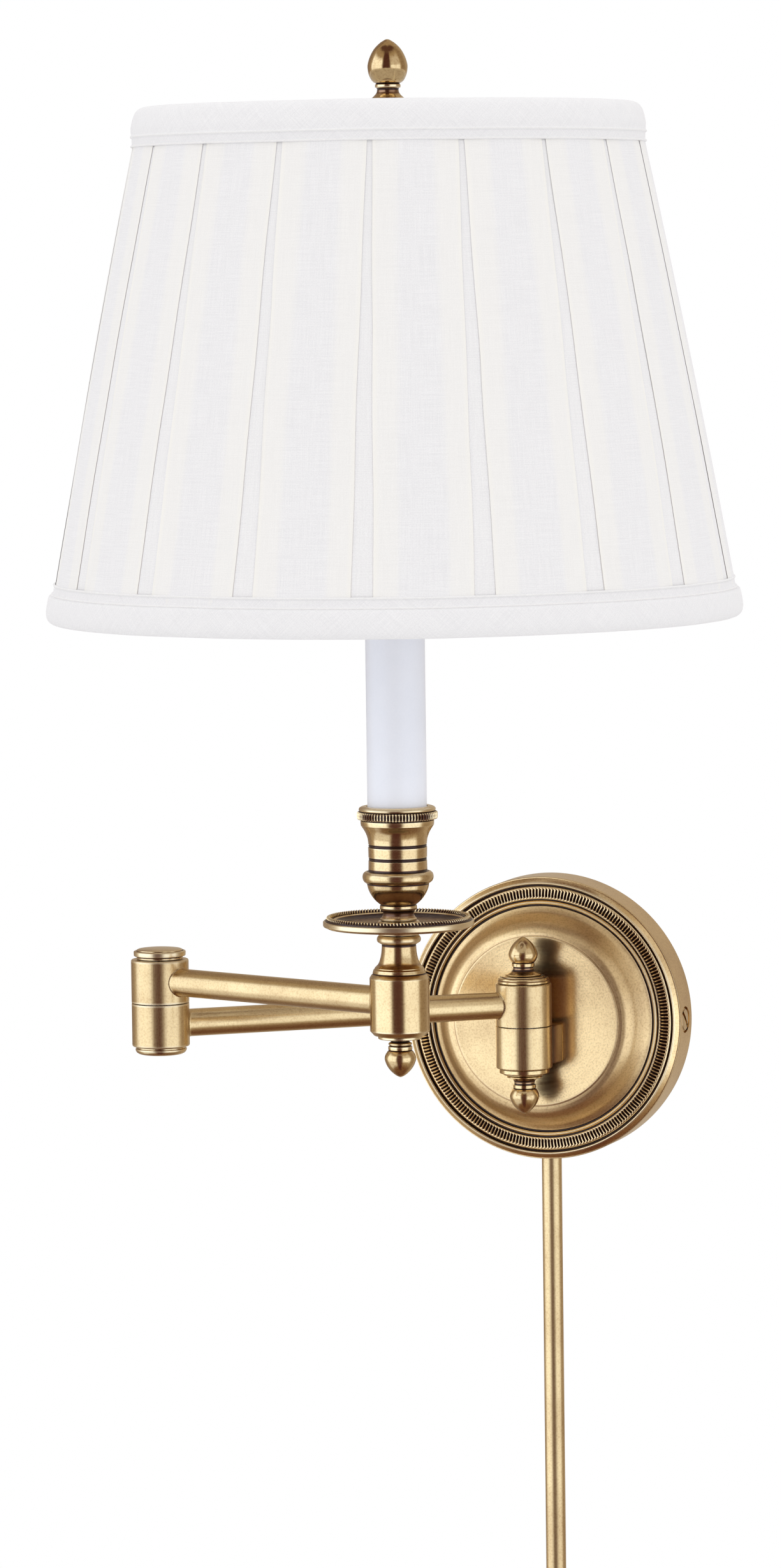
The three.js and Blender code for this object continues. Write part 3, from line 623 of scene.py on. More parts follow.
def lathe(name, outline, closed=True, segments=SEGMENTS, relief=None):
    """Turns an outline round Z. relief(angles, outline) gives how far each point moves outward,
    in mm, and how much darker it is, as arrays of outline points by angles."""
    outline = with_lands(np.asarray(outline, float), closed)
    cavity, normal = outline_cavity(outline, closed)
    angles = circle(segments)
    radius = np.repeat(outline[:, :1], segments, axis=1)
    height = np.repeat(outline[:, 1:], segments, axis=1)
    cavity = np.repeat(cavity[:, None], segments, axis=1)
    if relief is not None:
        outward, darker = relief(angles, outline)
        radius = radius + normal[:, :1] * outward
        height = height + normal[:, 1:] * outward
        cavity = cavity + darker
    points = turned_points(radius, angles, height) * MM
    faces, corners = grid_faces(len(outline), segments, closed, True)
    widest = TAU * float(outline[:, 0].max()) * MM / segments
    uvs = unrolled(corners, widest, lengths_along(ring_of(outline)) * MM)
    return tidy(new_mesh(name, points.reshape(-1, 3), faces, uvs, {"cavity": cavity}))


def sweep(name, path, section, closed=False, up=(0, 0, 1)):
    """Carries a section, in mm across and up, along a path in metres. The section may be one
    outline, or one for each point of the path."""
    path = np.asarray(path, float)
    count = len(path)
    sections = np.asarray(section, float)
    if sections.ndim == 2:
        sections = np.repeat(sections[None], count, axis=0)
    if closed:
        tangents = np.roll(path, -1, axis=0) - np.roll(path, 1, axis=0)
    else:
        tangents = np.gradient(path, axis=0)
    tangents /= np.linalg.norm(tangents, axis=1, keepdims=True)
    rises = []
    rise = np.array(up, float)
    for t in tangents:
        rise = rise - (rise @ t) * t
        rise /= np.linalg.norm(rise)
        rises.append(rise)
    rises = np.array(rises)
    across = np.cross(tangents, rises)
    points = (
        path[:, None]
        + (across[:, None] * sections[..., :1] + rises[:, None] * sections[..., 1:]) * MM
    )
    sides = sections.shape[1]
    faces, corners = grid_faces(count, sides, closed, True)
    round_it = lengths_along(ring_of(sections[0])) * MM
    along = lengths_along(ring_of(path))
    uvs = np.stack([round_it[corners[..., 1]], along[corners[..., 0]]], axis=-1).reshape(-1, 2)
    if not closed:
        faces += end_faces(count, sides)
        uvs = np.vstack([uvs, np.zeros((2 * sides, 2))])
    return tidy(new_mesh(name, points.reshape(-1, 3), faces, uvs))


def disc(radius, sides=16):
    """Round section, in mm."""
    turns = circle(sides)
    return np.column_stack([radius * np.cos(turns), radius * np.sin(turns)])


def strip(width, thickness, fillet=0.35):
    """Flat section with rounded edges, in mm: thickness across, width up."""
    a, b = thickness / 2, width / 2
    return rounded([(-a, -b), (a, -b), (a, b), (-a, b)], fillet)


def slab(name, lows, highs):
    """A block in the row frame, in mm, to cut with or to join on."""
    corners = [
        [(lows, highs)[k][axis] for axis, k in enumerate(pick)] for pick in np.ndindex(2, 2, 2)
    ]
    faces = [(0, 1, 3, 2), (4, 6, 7, 5), (0, 4, 5, 1), (2, 3, 7, 6), (0, 2, 6, 4), (1, 5, 7, 3)]
    return tidy(new_mesh(name, np.array(corners, float) * MM, faces))


def rod(radius, low, high, segments=48, fillet=0.1):
    """A round rod to cut a hole with, in mm."""
    outline = [(0, low), (radius, low), (radius, high), (0, high)]
    return lathe("rod", rounded(outline, fillet, False), False, segments)


def applied(mesh, kind, **settings):
    """The mesh after a modifier of that kind, with its settings."""
    made = in_scene(mesh.name, mesh)
    modifier = made.modifiers.new(kind.lower(), kind)
    for name, value in settings.items():
        setattr(modifier, name, value)
    graph = bpy.context.evaluated_depsgraph_get()
    result = bpy.data.meshes.new_from_object(made.evaluated_get(graph))
    result.name = mesh.name
    bpy.data.objects.remove(made)
    return result


def thickened(mesh, thickness):
    """A sheet given its thickness, in mm, inwards."""
    return applied(mesh, "SOLIDIFY", thickness=thickness * MM, offset=-1.0)


def shaped(mesh, operation, *tools):
    """The mesh joined with, or cut by, the tool meshes."""
    for tool in tools:
        cutter = in_scene(tool.name, tool)
        bpy.context.view_layer.update()
        mesh = applied(mesh, "BOOLEAN", operation=operation, object=cutter, solver="EXACT")
        bpy.data.objects.remove(cutter)
    mesh.shade_smooth()
    mesh.set_sharp_from_angle(angle=math.radians(35.0))
    return mesh


def give(mesh, name, values):
    """Sets a point value of a mesh: one number for all of its points, or one for each."""
    attribute = mesh.attributes.get(name) or mesh.attributes.new(name, "FLOAT", "POINT")
    values = np.broadcast_to(values, len(mesh.vertices))
    attribute.data.foreach_set("value", values.astype(np.float32))
    return mesh


def place_at(axis, z_mm, upside_down=False):
    """Moves a turned mesh to a vertical axis and height."""
    flip = Matrix.Rotation(math.pi, 4, "X") if upside_down else Matrix.Identity(4)
    return Matrix.Translation((axis.x, axis.y, z_mm * MM)) @ flip


def piece(node, mesh, material, matrix=None):
    """Puts a mesh in the scene as the piece that stands for a CAD node."""
    if matrix is not None:
        mesh.transform(matrix)
    mesh.name = "fine_" + node
    made = in_scene("fine_" + node, mesh)
    mesh.materials.clear()
    mesh.materials.append(material)
    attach(made, BODY_OF[node])
    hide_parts(node)
    return made


def turned(
    node, axis, outline, material=TURNED_BRASS,
    closed=True, upside_down=False, fillet=0.3, **options
):
    """A turned piece on a vertical axis: its outline is rounded and stands on the node's foot,
    or hangs from the node's top."""
    base = high_z(node) if upside_down else low_z(node)
    mesh = lathe(node, rounded(outline, fillet, closed), closed, **options)
    return piece(node, mesh, material, place_at(axis, base, upside_down))


def screwed_in(node, axis, outline, upside_down=False):
    """A turned cap or finial, whose outline starts with the spigot below height 0."""
    mesh = lathe(node, rounded(outline, 0.3, False), False)
    foot = high_z(node) - SPIGOT if upside_down else low_z(node) + SPIGOT
    return piece(node, mesh, TURNED_BRASS, place_at(axis, foot, upside_down))


# ---- wall assembly ----

CANOPY_WALL = 1.6       # thickness of the spun metal
CANOPY_FACE = 31.0      # from the wall to the canopy's face
COIN_TEETH = 238        # cut across the canopy's broad bead
SHOULDER, SHOULDER_HALF = 47.0, 8.5     # middle and half width of the canopy's satin zone
BEYOND_RIM = 70         # a radius outside of the canopy
SCREW_DEPTH = 10.0      # from the wall to the axis of the side screws
SCREW_HEAD = 5.7        # radius of a side screw's head
SCREW_SEAT = 66.1       # from the canopy's axis to the floor of a side screw's seat
COVER_Y = -8.0          # from the wall to the axis of the cord cover


def teeth(count, low, high, depth, along, lean=0.0, ease=0.5, sharp=0.9, sharper=0.0):
    """A relief of cut teeth where the outline's coordinate `along` (0 for the radius, 1 for the
    height) is between low and high. They lean by an angle for each mm, and ease is how far they
    run out at their ends."""

    def relief(angles, outline):
        place = outline[:, along]
        across = outline[:, 1 - along]
        outside = across >= np.median(across[(place > low) & (place < high)]) - 2
        window = np.clip(np.minimum(place - low, high - place) / ease, 0, 1) * outside
        phase = count * angles[None, :] + lean * (place - low)[:, None]
        taper = np.clip((place - low) / (high - low), 0, 1)[:, None]
        valley = (0.5 + 0.5 * np.cos(phase)) ** (sharp + sharper * taper) * window[:, None]
        return -depth * valley, 1.6 * valley - 0.35 * window[:, None]

    return relief


def canopy_outline():
    """The spun canopy, as [radius, distance from the wall]."""
    outer = [
        (67.6, 0), *[(67.6 - 0.011 * z, z) for z in np.linspace(2, 17, 16)], (67.45, 17.9, 0.3),
        (67.2, 18.7, 0.2), (66.8, 18.75, 0.1), (66.7, 19.05, 0.1), (64.6, 20.7, 0.3),
        (64.1, 20.5, 0.3), (63.7, 18.7, 0.15), (63.1, 18.9, 0.15),
        *smooth([
            (62.9, 19.7), (62.3, 20.1), (61.2, 20.5), (59.4, 20.8), (57.7, 20.6), (57.1, 20.2),
        ]),
        (56.9, 18.8, 0.15), (56.4, 18.8, 0.15),
        *smooth([(56.2, 19.6), (55.4, 20.3), (54.6, 19.7)], 4), (54.3, 18.5, 0.15),
        (53.8, 18.5, 0.15),
        *smooth([
            (53.5, 19.2), (52.0, 20.1), (50.4, 21.5), (48.3, 24.4), (46.4, 27.3), (44.2, 29.5),
            (41.9, 30.6),
        ]),
        (40.6, 30.7, 0.3), (40.0, CANOPY_FACE, 0.4), (20, CANOPY_FACE), (0, CANOPY_FACE),
    ]
    inner = [
        (0, CANOPY_FACE - CANOPY_WALL), (38.6, CANOPY_FACE - CANOPY_WALL, 1.5),
        *smooth([(43.4, 28.0), (46.9, 23.4), (51.2, 18.2)]), (54.0, 16.9, 0.8), (63.4, 17.0, 1.0),
        (65.8, 16.6, 1.0), (65.9, 0),
    ]
    return [*outer, *inner]


def onto_wall():
    """Turns a piece made along +Z so that it stands out from the wall along -Y."""
    return Matrix.Rotation(math.pi / 2, 4, "X")


def make_canopy():
    coin_edge = teeth(COIN_TEETH, 57.5, 62.2, 0.9, 0, sharp=0.8, sharper=0.9)
    outline = rounded(canopy_outline(), 0.25, False)
    mesh = lathe("canopy", outline, False, COIN_TEETH * 4, coin_edge)
    reach = np.array([math.hypot(v.co.x, v.co.y) / MM for v in mesh.vertices])
    inside = SHOULDER_HALF - np.abs(reach - SHOULDER)
    give(mesh, "satin", 0.5 * np.clip(inside / 2.5, 0, 1))
    mesh.transform(onto_wall())
    cutters = []
    for side in (-1, 1):
        for radius, low in ((SCREW_HEAD + 0.6, SCREW_SEAT), (2.7, 60)):
            # painted shade in the seats and holes of the side screws
            tool = give(rod(radius, low, BEYOND_RIM), "cavity", RECESS_SHADE)
            tool.transform(Matrix.Rotation(side * math.pi / 2, 4, "Y"))
            tool.transform(Matrix.Translation((0, -SCREW_DEPTH * MM, 0)))
            cutters.append(tool)
    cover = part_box("cord_cover_tube")
    notch = rod((cover[1].x - cover[0].x) / 2 / MM + 0.3, -75, -58)
    notch.transform(Matrix.Translation((0, COVER_Y * MM, 0)))
    piece("canopy", shaped(mesh, "DIFFERENCE", *cutters, notch), SPUN_BRASS)


def make_side_screws():
    for node, side in (("side_screw_right", 1), ("side_screw_left", -1)):
        outline = [
            (0, 56.9), (1.5, 56.9), (2.1, 57.6), (2.1, 66.5, 0.1), (SCREW_HEAD, 66.5, 0.1),
            (SCREW_HEAD, 66.6, 0.1), (4.9, 67.3, 0.1),
            *smooth([(4.6, 67.32), (2.5, 67.45), (0, 67.5)], 8),
        ]

        # painted shade round the rim of the screw's head
        def dark_rim(angles, outline):
            return np.zeros((1, 1)), RECESS_SHADE * np.clip((outline[:, :1] - 4.6) / 0.15, 0, 1)

        screw = lathe(node, rounded(outline, 0.2, False), False, 96, dark_rim)
        slot = slab("slot", (-9, -0.85, SCREW_SEAT), (9, 0.85, BEYOND_RIM))
        # painted shade in the screw's slot
        give(slot, "cavity", RECESS_SHADE)
        slot.transform(Matrix.Rotation(math.radians(45 * side), 4, "Z"))
        mesh = shaped(screw, "DIFFERENCE", slot)
        mesh.transform(Matrix.Rotation(side * math.pi / 2, 4, "Y"))
        piece(node, mesh, TURNED_BRASS, Matrix.Translation((0, -SCREW_DEPTH * MM, 0)))


BARREL = 13.25          # radius of the hinge barrels
BORE = 5.1              # radius of the hole through every piece on a pin or a pipe
BRACKET_HALF = 12.9     # half the width of the bracket's block, at the wall


def barrel_outline(height, top_round, foot_round):
    """Half of a hinge barrel. The outer end is well rounded, the split end is crisp."""
    return [
        (BORE, 0, 0.2), (BARREL, 0, foot_round), (BARREL, height / 3), (BARREL, 2 * height / 3),
        (BARREL, height, top_round), (BORE, height, 0.2),
    ]


def wall_side_shade(mesh, tarnish=0.27):
    """Painted shade on the side of the wall hinge that faces the wall: the cavity value is raised
    there by up to tarnish, so the brass turns dark.
    """
    places = np.array([v.co - WALL_HINGE for v in mesh.vertices])[:, :2]
    reach = np.linalg.norm(places, axis=1)
    facing = np.where(reach > 4 * MM, places[:, 1] / np.maximum(reach, 1e-6), 0.0)
    # painted shade: up to tarnish on the side facing the wall, within the barrel's radius
    hidden = tarnish * np.clip((facing - 0.15) / 0.4, 0, 1) * (reach < (BARREL + 0.2) * MM)
    before = np.zeros(len(places), np.float32)
    mesh.attributes["cavity"].data.foreach_get("value", before)
    return give(mesh, "cavity", np.maximum(before, hidden))


def make_wall_bracket():
    node = "wall_bracket"
    height = height_of(node)
    body = lathe(node, rounded(barrel_outline(height, 0.15, 0.9)), True)
    body.transform(place_at(WALL_HINGE, low_z(node)))
    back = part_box(node)[1].y / MM
    front = WALL_HINGE.y / MM
    plan = rounded([
        (-10.4, front + 1.5), (10.4, front + 1.5), (BRACKET_HALF, back, 0.2),
        (-BRACKET_HALF, back, 0.2),
    ], 0.3)
    layers = []
    for z, inset in (
        (0.9, 0.9), (1.1, 0.35), (1.7, 0.0),
        (height - 2.0, 0.0), (height - 1.3, 0.35), (height - 1.1, 0.9),
    ):
        shrunk = plan * [(BRACKET_HALF - inset) / BRACKET_HALF, 1.0]
        layers.append(np.column_stack([shrunk, np.full(len(shrunk), low_z(node) + z)]))
    points = np.concatenate(layers) * MM
    faces, _ = grid_faces(len(layers), len(plan), False, True)
    block = tidy(new_mesh("block", points, faces + end_faces(len(layers), len(plan))))
    mesh = shaped(body, "UNION", block)
    places = [v.co - WALL_HINGE for v in mesh.vertices]
    beyond = [math.hypot(place.x, place.y) > (BARREL + 0.1) * MM for place in places]
    give(mesh, "satin", 0.2 * np.array(beyond, float))
    piece(node, wall_side_shade(mesh), SATIN_BRASS)


def acorn(neck, base, neck_radius=4.7, belly=6.9, length=14.0):
    """Acorn finial standing on height 0, with its spigot below it."""
    flare = smooth([
        (base, 0.55), (base - 1.6, 1.1), (neck_radius + 0.45, 2.2), (neck_radius, neck - 0.2),
    ])
    body = smooth([
        (5.1, neck + 1.75), (5.9, neck + 2.6), (belly - 0.25, neck + 4.1), (belly, neck + 5.5),
        (belly - 0.25, neck + 6.9), (belly - 1.1, neck + 8.9), (belly - 2.5, neck + 10.9),
        (belly - 4.3, neck + 12.6), (1.2, neck + length - 0.45), (0, neck + length),
    ])
    return [
        (0, -SPIGOT), (3.0, -SPIGOT), (3.0, 0), (base - 0.2, 0), *flare, (neck_radius, neck, 0.1),
        (5.35, neck + 0.05, 0.25), (5.35, neck + 1.6, 0.25), (5.0, neck + 1.7, 0.1), *body,
    ]


def make_wall_hinge():
    knuckle = barrel_outline(height_of("wall_knuckle"), 0.9, 0.15)
    wall_side_shade(turned("wall_knuckle", WALL_HINGE, knuckle, SATIN_BRASS).data, 0.17)
    cap = [
        (BORE, 0), (12.4, 0, 0.15), (12.4, 0.9, 0.35), (11.9, 1.25, 0.15), (12.1, 1.6, 0.3),
        (11.7, 2.4, 0.4), (10.4, 2.5, 0.2), (10.2, 3.1, 0.3), (BORE, 3.1),
    ]
    wall_side_shade(turned("wall_cap_upper", WALL_HINGE, cap).data)
    under = [
        (BORE, 0), (11.8, 0, 0.15), (11.8, 1.9, 0.5), (10.0, 2.3, 0.2), (9.9, 2.7, 0.2),
        (8.6, 3.1, 0.3), (BORE, 3.1),
    ]
    wall_side_shade(turned("wall_cap_lower", WALL_HINGE, under, upside_down=True).data)
    for node, base, flip in (("wall_finial_upper", 8.8, False), ("wall_finial_lower", 8.4, True)):
        wall_side_shade(screwed_in(node, WALL_HINGE, acorn(4.1, base), flip).data)


# ---- arms ----

TUBE = 6.35             # radius of the arm tubes
TUBE_BORE = 5.3         # radius inside them
TUBE_SIDES = 96
POST_BODY = 13.3        # radius of the post's body


def arm_tube(node, start, end, z, start_radius, end_radius):
    """Straight tube whose ends are coped to the barrels that it meets, with a fine brazed edge."""
    length = (Vector((end.x, end.y)) - Vector((start.x, start.y))).length / MM
    angles = circle(TUBE_SIDES)
    rows = []

    def row(radius, distance, from_start):
        side, up = radius * np.cos(angles), radius * np.sin(angles)
        barrel = start_radius if from_start else end_radius
        cope = np.sqrt(barrel**2 - np.minimum(np.abs(side), barrel - 0.1) ** 2)
        x = cope + distance if from_start else length - cope - distance
        rows.append(np.column_stack([x, side, up]))

    brazed = ((TUBE + 0.45, 0.05), (TUBE + 0.22, 0.25), (TUBE + 0.06, 0.6), (TUBE, 1.1))
    for radius, distance in brazed:
        row(radius, distance, True)
    for share in (0.1, 0.3, 0.5, 0.7, 0.9):
        side, up = TUBE * np.cos(angles), TUBE * np.sin(angles)
        rows.append(np.column_stack([np.full(TUBE_SIDES, length * share), side, up]))
    for radius, distance in reversed(brazed):
        row(radius, distance, False)
    row(TUBE_BORE, 0.05, False)
    row(TUBE_BORE, 0.05, True)
    points = np.concatenate(rows)
    faces, corners = grid_faces(len(rows), TUBE_SIDES, True, True)
    along = np.append([r[:, 0].mean() for r in rows], 0.0) * MM
    uvs = unrolled(corners, TAU * TUBE * MM / TUBE_SIDES, along)
    mesh = tidy(new_mesh(node, points * MM, faces, uvs))
    heading = math.atan2(end.y - start.y, end.x - start.x)
    matrix = Matrix.Translation((start.x, start.y, z * MM)) @ Matrix.Rotation(heading, 4, "Z")
    piece(node, mesh, BRUSHED_BRASS, matrix)


def make_arms():
    arm_tube("lower_arm_tube", WALL_HINGE, ELBOW, middle_z("lower_arm_tube"), BARREL, BARREL)
    arm_tube("upper_arm_tube", ELBOW, POST, middle_z("upper_arm_tube"), BARREL, POST_BODY)
    lower, upper = "elbow_knuckle_lower", "elbow_knuckle_upper"
    turned(lower, ELBOW, barrel_outline(height_of(lower), 0.15, 0.9), SATIN_BRASS)
    turned(upper, ELBOW, barrel_outline(height_of(upper), 0.9, 0.15), SATIN_BRASS)
    plug = [
        (0, -SPIGOT), (3.0, -SPIGOT), (3.0, 0), (10.6, 0, 0.1), (10.6, 1.2, 0.1), (11.9, 1.2, 0.5),
        (12.0, 3.4, 0.6), (11.1, 3.7, 0.1), (10.6, 3.3, 0.05), (10.5, 4.1, 0.2),
        *smooth([(9.8, 4.4), (6.5, 4.8), (3, 5.0), (0, 5.05)], 4),
    ]
    nub = [
        (0, -SPIGOT), (3.0, -SPIGOT), (3.0, 0), (11.2, 0, 0.1), (11.2, 0.7, 0.1), (11.8, 0.7, 0.3),
        *smooth([(11.8, 1.4), (11.2, 2.5), (9.9, 3.2), (8.6, 3.4)], 4), (4.0, 3.45),
        (2.2, 3.5, 0.2), (1.9, 3.95, 0.3), (0, 4.05),
    ]
    screwed_in("elbow_cap_upper", ELBOW, plug)
    screwed_in("elbow_cap_lower", ELBOW, nub, True)


# ---- candle post ----

ROPE_TEETH = 132        # round the rope edge of the dish
KNURL_TEETH = 76        # round the knurled rim of the cup


def make_post():
    body = [
        (BORE, 0), (11.6, 0, 0.3), (12.2, 0.7, 0.3), (POST_BODY, 1.9, 0.5), (POST_BODY, 9),
        (POST_BODY, 17), (POST_BODY, 25.6, 0.5), (12.5, 26.9, 0.4), (11.7, 27.7, 0.1),
        (11.9, 28.0, 0.2), (11.5, 29.3, 0.3), (10.9, 29.9, 0.1),
        *smooth([(10.9, 30.2), (9.3, 31.9), (8.4, 34.3), (7.9, 36.8), (7.65, 39.6)]),
        (7.65, 40.6, 0.2),
        *smooth([(8.3, 41.0), (9.5, 41.8), (9.8, 42.9), (9.5, 44.0), (8.9, 44.6)], 4),
        (BORE, 44.8),
    ]
    turned("post_body", POST, body)
    washer = [
        (0, -SPIGOT), (3.0, -SPIGOT), (3.0, -1.3), (9.8, -1.3, 0.4), (9.8, 0.0, 0.5),
        (7.6, 0.3, 0.3),
    ]
    finial = acorn(3.4, 5.6, 4.8, 7.0)
    own_foot = 4        # points of the acorn that the washer takes the place of
    screwed_in("post_finial", POST, [*washer, *finial[own_foot:]], True)


def make_bobeche():
    dish = [
        (BORE, 0), (9.6, 0, 0.3), (10.4, 2.4, 0.5), (20, 2.7), (28, 2.9), (31.8, 3.1, 0.2),
        (32.2, 3.7, 0.1), (32.7, 3.7, 0.1), (33.3, 3.8, 0.2), (33.6, 4.2, 0.2), (33.6, 5.9, 0.25),
        (33.2, 6.3, 0.15), (32.5, 6.3, 0.1), (32.4, 6.9, 0.1), (32.2, 7.0, 0.1),
        *smooth([(32.2, 7.4), (31.9, 8.1), (31.2, 8.4), (30.5, 8.1), (30.1, 7.2)], 4),
        (30.0, 6.2, 0.1), (29.4, 6.2, 0.1), (29.1, 6.9, 0.2), (28.5, 6.9, 0.2), (28.0, 6.2, 0.2),
        *smooth([(27.3, 5.6), (25.6, 4.95), (21, 4.6), (14, 4.3), (11, 4.5), (9.8, 5.1)]),
        (9.0, 6.0, 0.3), (BORE, 6.0),
    ]
    rope = teeth(ROPE_TEETH, 6.95, 8.6, 0.6, 1, lean=1.2, ease=0.25)

    def rope_and_tarnish(angles, outline):
        outward, darker = rope(angles, outline)
        inside = (outline[:, :1] < 29.4) & (outline[:, 1:] > 3.6)
        rim = outline[:, 1:] > 6.1
        return outward, darker + 0.15 * inside + 0.12 * rim

    turned("bobeche", POST, dish, segments=ROPE_TEETH * 5, relief=rope_and_tarnish, fillet=0.2)


def make_candle_cup():
    cup = [
        (BORE, 0), (8.2, 0, 0.3), (8.2, 0.7, 0.2),
        *smooth([(7.6, 1.2), (6.95, 2.4), (6.9, 3.6), (7.2, 4.4)], 4), (7.9, 4.8, 0.2),
        (8.3, 5.4, 0.4), (8.2, 6.5, 0.4), (7.8, 7.0, 0.1),
        *smooth([(8.4, 7.3), (10.4, 9.1), (12.2, 11.6), (13.3, 14.0), (13.8, 16.1)]),
        (13.7, 16.5, 0.1),
        *smooth([(14.3, 16.7), (15.3, 17.6), (15.8, 19.2), (15.5, 20.8), (14.6, 21.7)], 4),
        (13.1, 22.0, 0.2), (13.0, 26.7, 0.1), (12.55, 26.8, 0.05), (12.55, 27.1, 0.05),
        (12.9, 27.2, 0.1), (12.9, 27.6, 0.1), (12.55, 27.7, 0.05), (12.55, 28.0, 0.05),
        (13.0, 28.1, 0.1), (13.1, 32.6, 0.1), (12.6, 32.7, 0.05), (12.6, 33.0, 0.05),
        (12.95, 33.1, 0.1), (12.95, 33.5, 0.1), (12.6, 33.6, 0.05), (12.6, 33.9, 0.05),
        (13.0, 34.0, 0.1),
        *smooth([(13.05, 34.8), (13.4, 36.9), (14.3, 39.3), (15.5, 41.3), (16.2, 42.4)]),
        (16.35, 43.2, 0.3), (16.35, 44.5, 0.1), (15.9, 44.7, 0.1), (15.9, 45.0, 0.1),
        (17.5, 45.1, 0.2), (17.95, 45.6, 0.2), (18.0, 46.8), (17.95, 48.0, 0.2), (17.5, 48.5, 0.2),
        (16.6, 48.6, 0.1), *smooth([(16.9, 48.9), (17.1, 49.6), (16.7, 50.3), (16.0, 50.7)], 4),
        (15.2, 50.9, 0.2), (13.6, 50.9, 0.2), (13.6, 38.8), (11, 38.8), (11, 22.6), (BORE, 22.6),
    ]
    knurl = teeth(KNURL_TEETH, 45.0, 48.6, 0.7, 1, ease=0.2, sharp=0.8)

    def knurl_and_grooves(angles, outline):
        outward, darker = knurl(angles, outline)
        r, z = outline[:, :1], outline[:, 1:]
        level = ((z > 26.75) & (z < 28.05)) | ((z > 32.65) & (z < 33.95))
        # painted shade in the two pairs of fine grooves on the cup
        return outward, darker + RECESS_SHADE * ((r > 12.4) & (r < 12.97) & level)

    turned("candle_cup", POST, cup, segments=KNURL_TEETH * 6, relief=knurl_and_grooves, fillet=0.2)


def make_candle():
    height = height_of("candle_sleeve")
    sleeve = [
        (12.0, 0), (13.2, 0, 0.3), (13.2, height / 2), (13.2, height, 0.5), (12.0, height, 0.5),
    ]
    turned("candle_sleeve", POST, sleeve, CANDLE)


# ---- harp, lampholder and lamp ----

HARP_FOOT = 21.25       # from the post to each foot of the harp


def make_harp():
    lo, hi = box_mm("harp")
    wire = 1.6
    post = POST.x / MM
    depth = POST.y / MM
    foot, half_width = lo.z, (hi.x - lo.x) / 2 - wire
    seat = high_z("shade_spider") - 4.5
    half = smooth([
        (HARP_FOOT, 0), (HARP_FOOT, 7), (HARP_FOOT, 14), (HARP_FOOT + 9, 28), (48, 54),
        (half_width, 86), (half_width, 118), (49, 148), (34, 168), (18, 178), (6, seat - foot),
    ], 5)
    path = [(post - x, depth, foot + z) for x, z in half]
    path += [(post + x, depth, foot + z) for x, z in reversed(half)]
    body = sweep("harp", np.array(path) * MM, disc(wire, 20), up=(0, 1, 0))
    top = hi.z - foot
    plug = rounded([
        (0, seat - foot - 2.4), (4.2, seat - foot - 2.4, 0.8), (8, seat - foot - 0.2, 0.4),
        (8, seat - foot + 2.0, 0.4), (3.1, seat - foot + 2.0, 0.2), (3.0, top - 0.8, 0.3),
        (2.4, top, 0.3), (0, top),
    ], 0.3, False)
    stud = lathe("stud", plug, False, 64)
    stud.transform(place_at(POST, foot))
    piece("harp", shaped(body, "UNION", stud), TURNED_BRASS)
    for side, node in ((-1, "harp_ferrule_left"), (1, "harp_ferrule_right")):
        axis = Vector((POST.x + side * HARP_FOOT * MM, POST.y))
        ferrule = [
            (1.75, 0), (2.9, 0, 0.2), (3.2, 0.6, 0.2), (3.2, 2.2, 0.2), (2.8, 2.6, 0.1),
            (2.8, 8.4, 0.1), (3.2, 8.8, 0.2), (3.2, 10.4, 0.3), (2.6, 11.0, 0.3), (1.75, 11.0),
        ]
        turned(node, axis, ferrule, segments=48, fillet=0.15)


def make_saddle():
    lo, hi = box_mm("harp_saddle")
    x, y = (lo.x + hi.x) / 2, (lo.y + hi.y) / 2
    half, top = (hi.x - lo.x) / 2 - 0.75, hi.z - lo.z
    bend = [(-half, top), (-half, 0.75, 4.0), (half, 0.75, 4.0), (half, top)]
    corner = rounded(bend, 0.3, False)
    path = []
    for a, b in zip(corner, corner[1:]):
        path += [a + (b - a) * t for t in np.linspace(0, 1, 6, endpoint=False)]
    path = np.array([*path, corner[-1]])
    widths = np.where(np.abs(path[:, 0]) < 9, 14.0, 10.0)
    sections = np.array([strip(width, 1.5) for width in widths])
    route = np.column_stack([x + path[:, 0], np.full(len(path), y), lo.z + path[:, 1]]) * MM
    body = sweep("harp_saddle", route, sections, up=(0, 1, 0))
    bore = rod(BORE, -3, 5, fillet=0)
    bore.transform(place_at(POST, lo.z))
    piece("harp_saddle", shaped(body, "DIFFERENCE", bore), TURNED_BRASS)


def make_lampholder():
    cap = [
        (BORE, 0), (8, 0, 0.5), (8.2, 1.4, 0.3),
        *smooth([(9.6, 1.9), (13.2, 3.4), (15.4, 6.0), (16.2, 8.4)]), (16.5, 12.2, 0.3),
        (17.1, 12.6, 0.3), (17.1, 13.9, 0.3), (15.9, 14.0), (15.2, 8.6), (12.6, 4.1), (7.6, 1.2),
        (BORE, 1.2),
    ]
    turned("socket_cap", POST, cap, fillet=0.2)
    shell = [
        (15.5, 0), (16.6, 0, 0.2), (16.6, 3.4, 0.2), (17.0, 3.9, 0.3), (17.0, 4.9, 0.3),
        (16.6, 5.4, 0.2), (16.6, 20), (16.6, 37.4, 0.3), (17.2, 38.2, 0.4), (17.2, 40.3, 0.4),
        (15.5, 40.7, 0.2),
    ]
    turned("socket_shell", POST, shell, fillet=0.2)
    insulator = [(2.4, 0), (14.8, 0), (14.8, 23.0), (2.4, 23.0)]
    turned("socket_insulator", POST, insulator, BLACK_PLASTIC)
    screw_shell = [(13.8, 0), (14.6, 0), (14.6, 16.0), (13.8, 16.0)]
    turned("socket_screw_shell", POST, screw_shell, ALUMINIUM)
    make_switch_key()


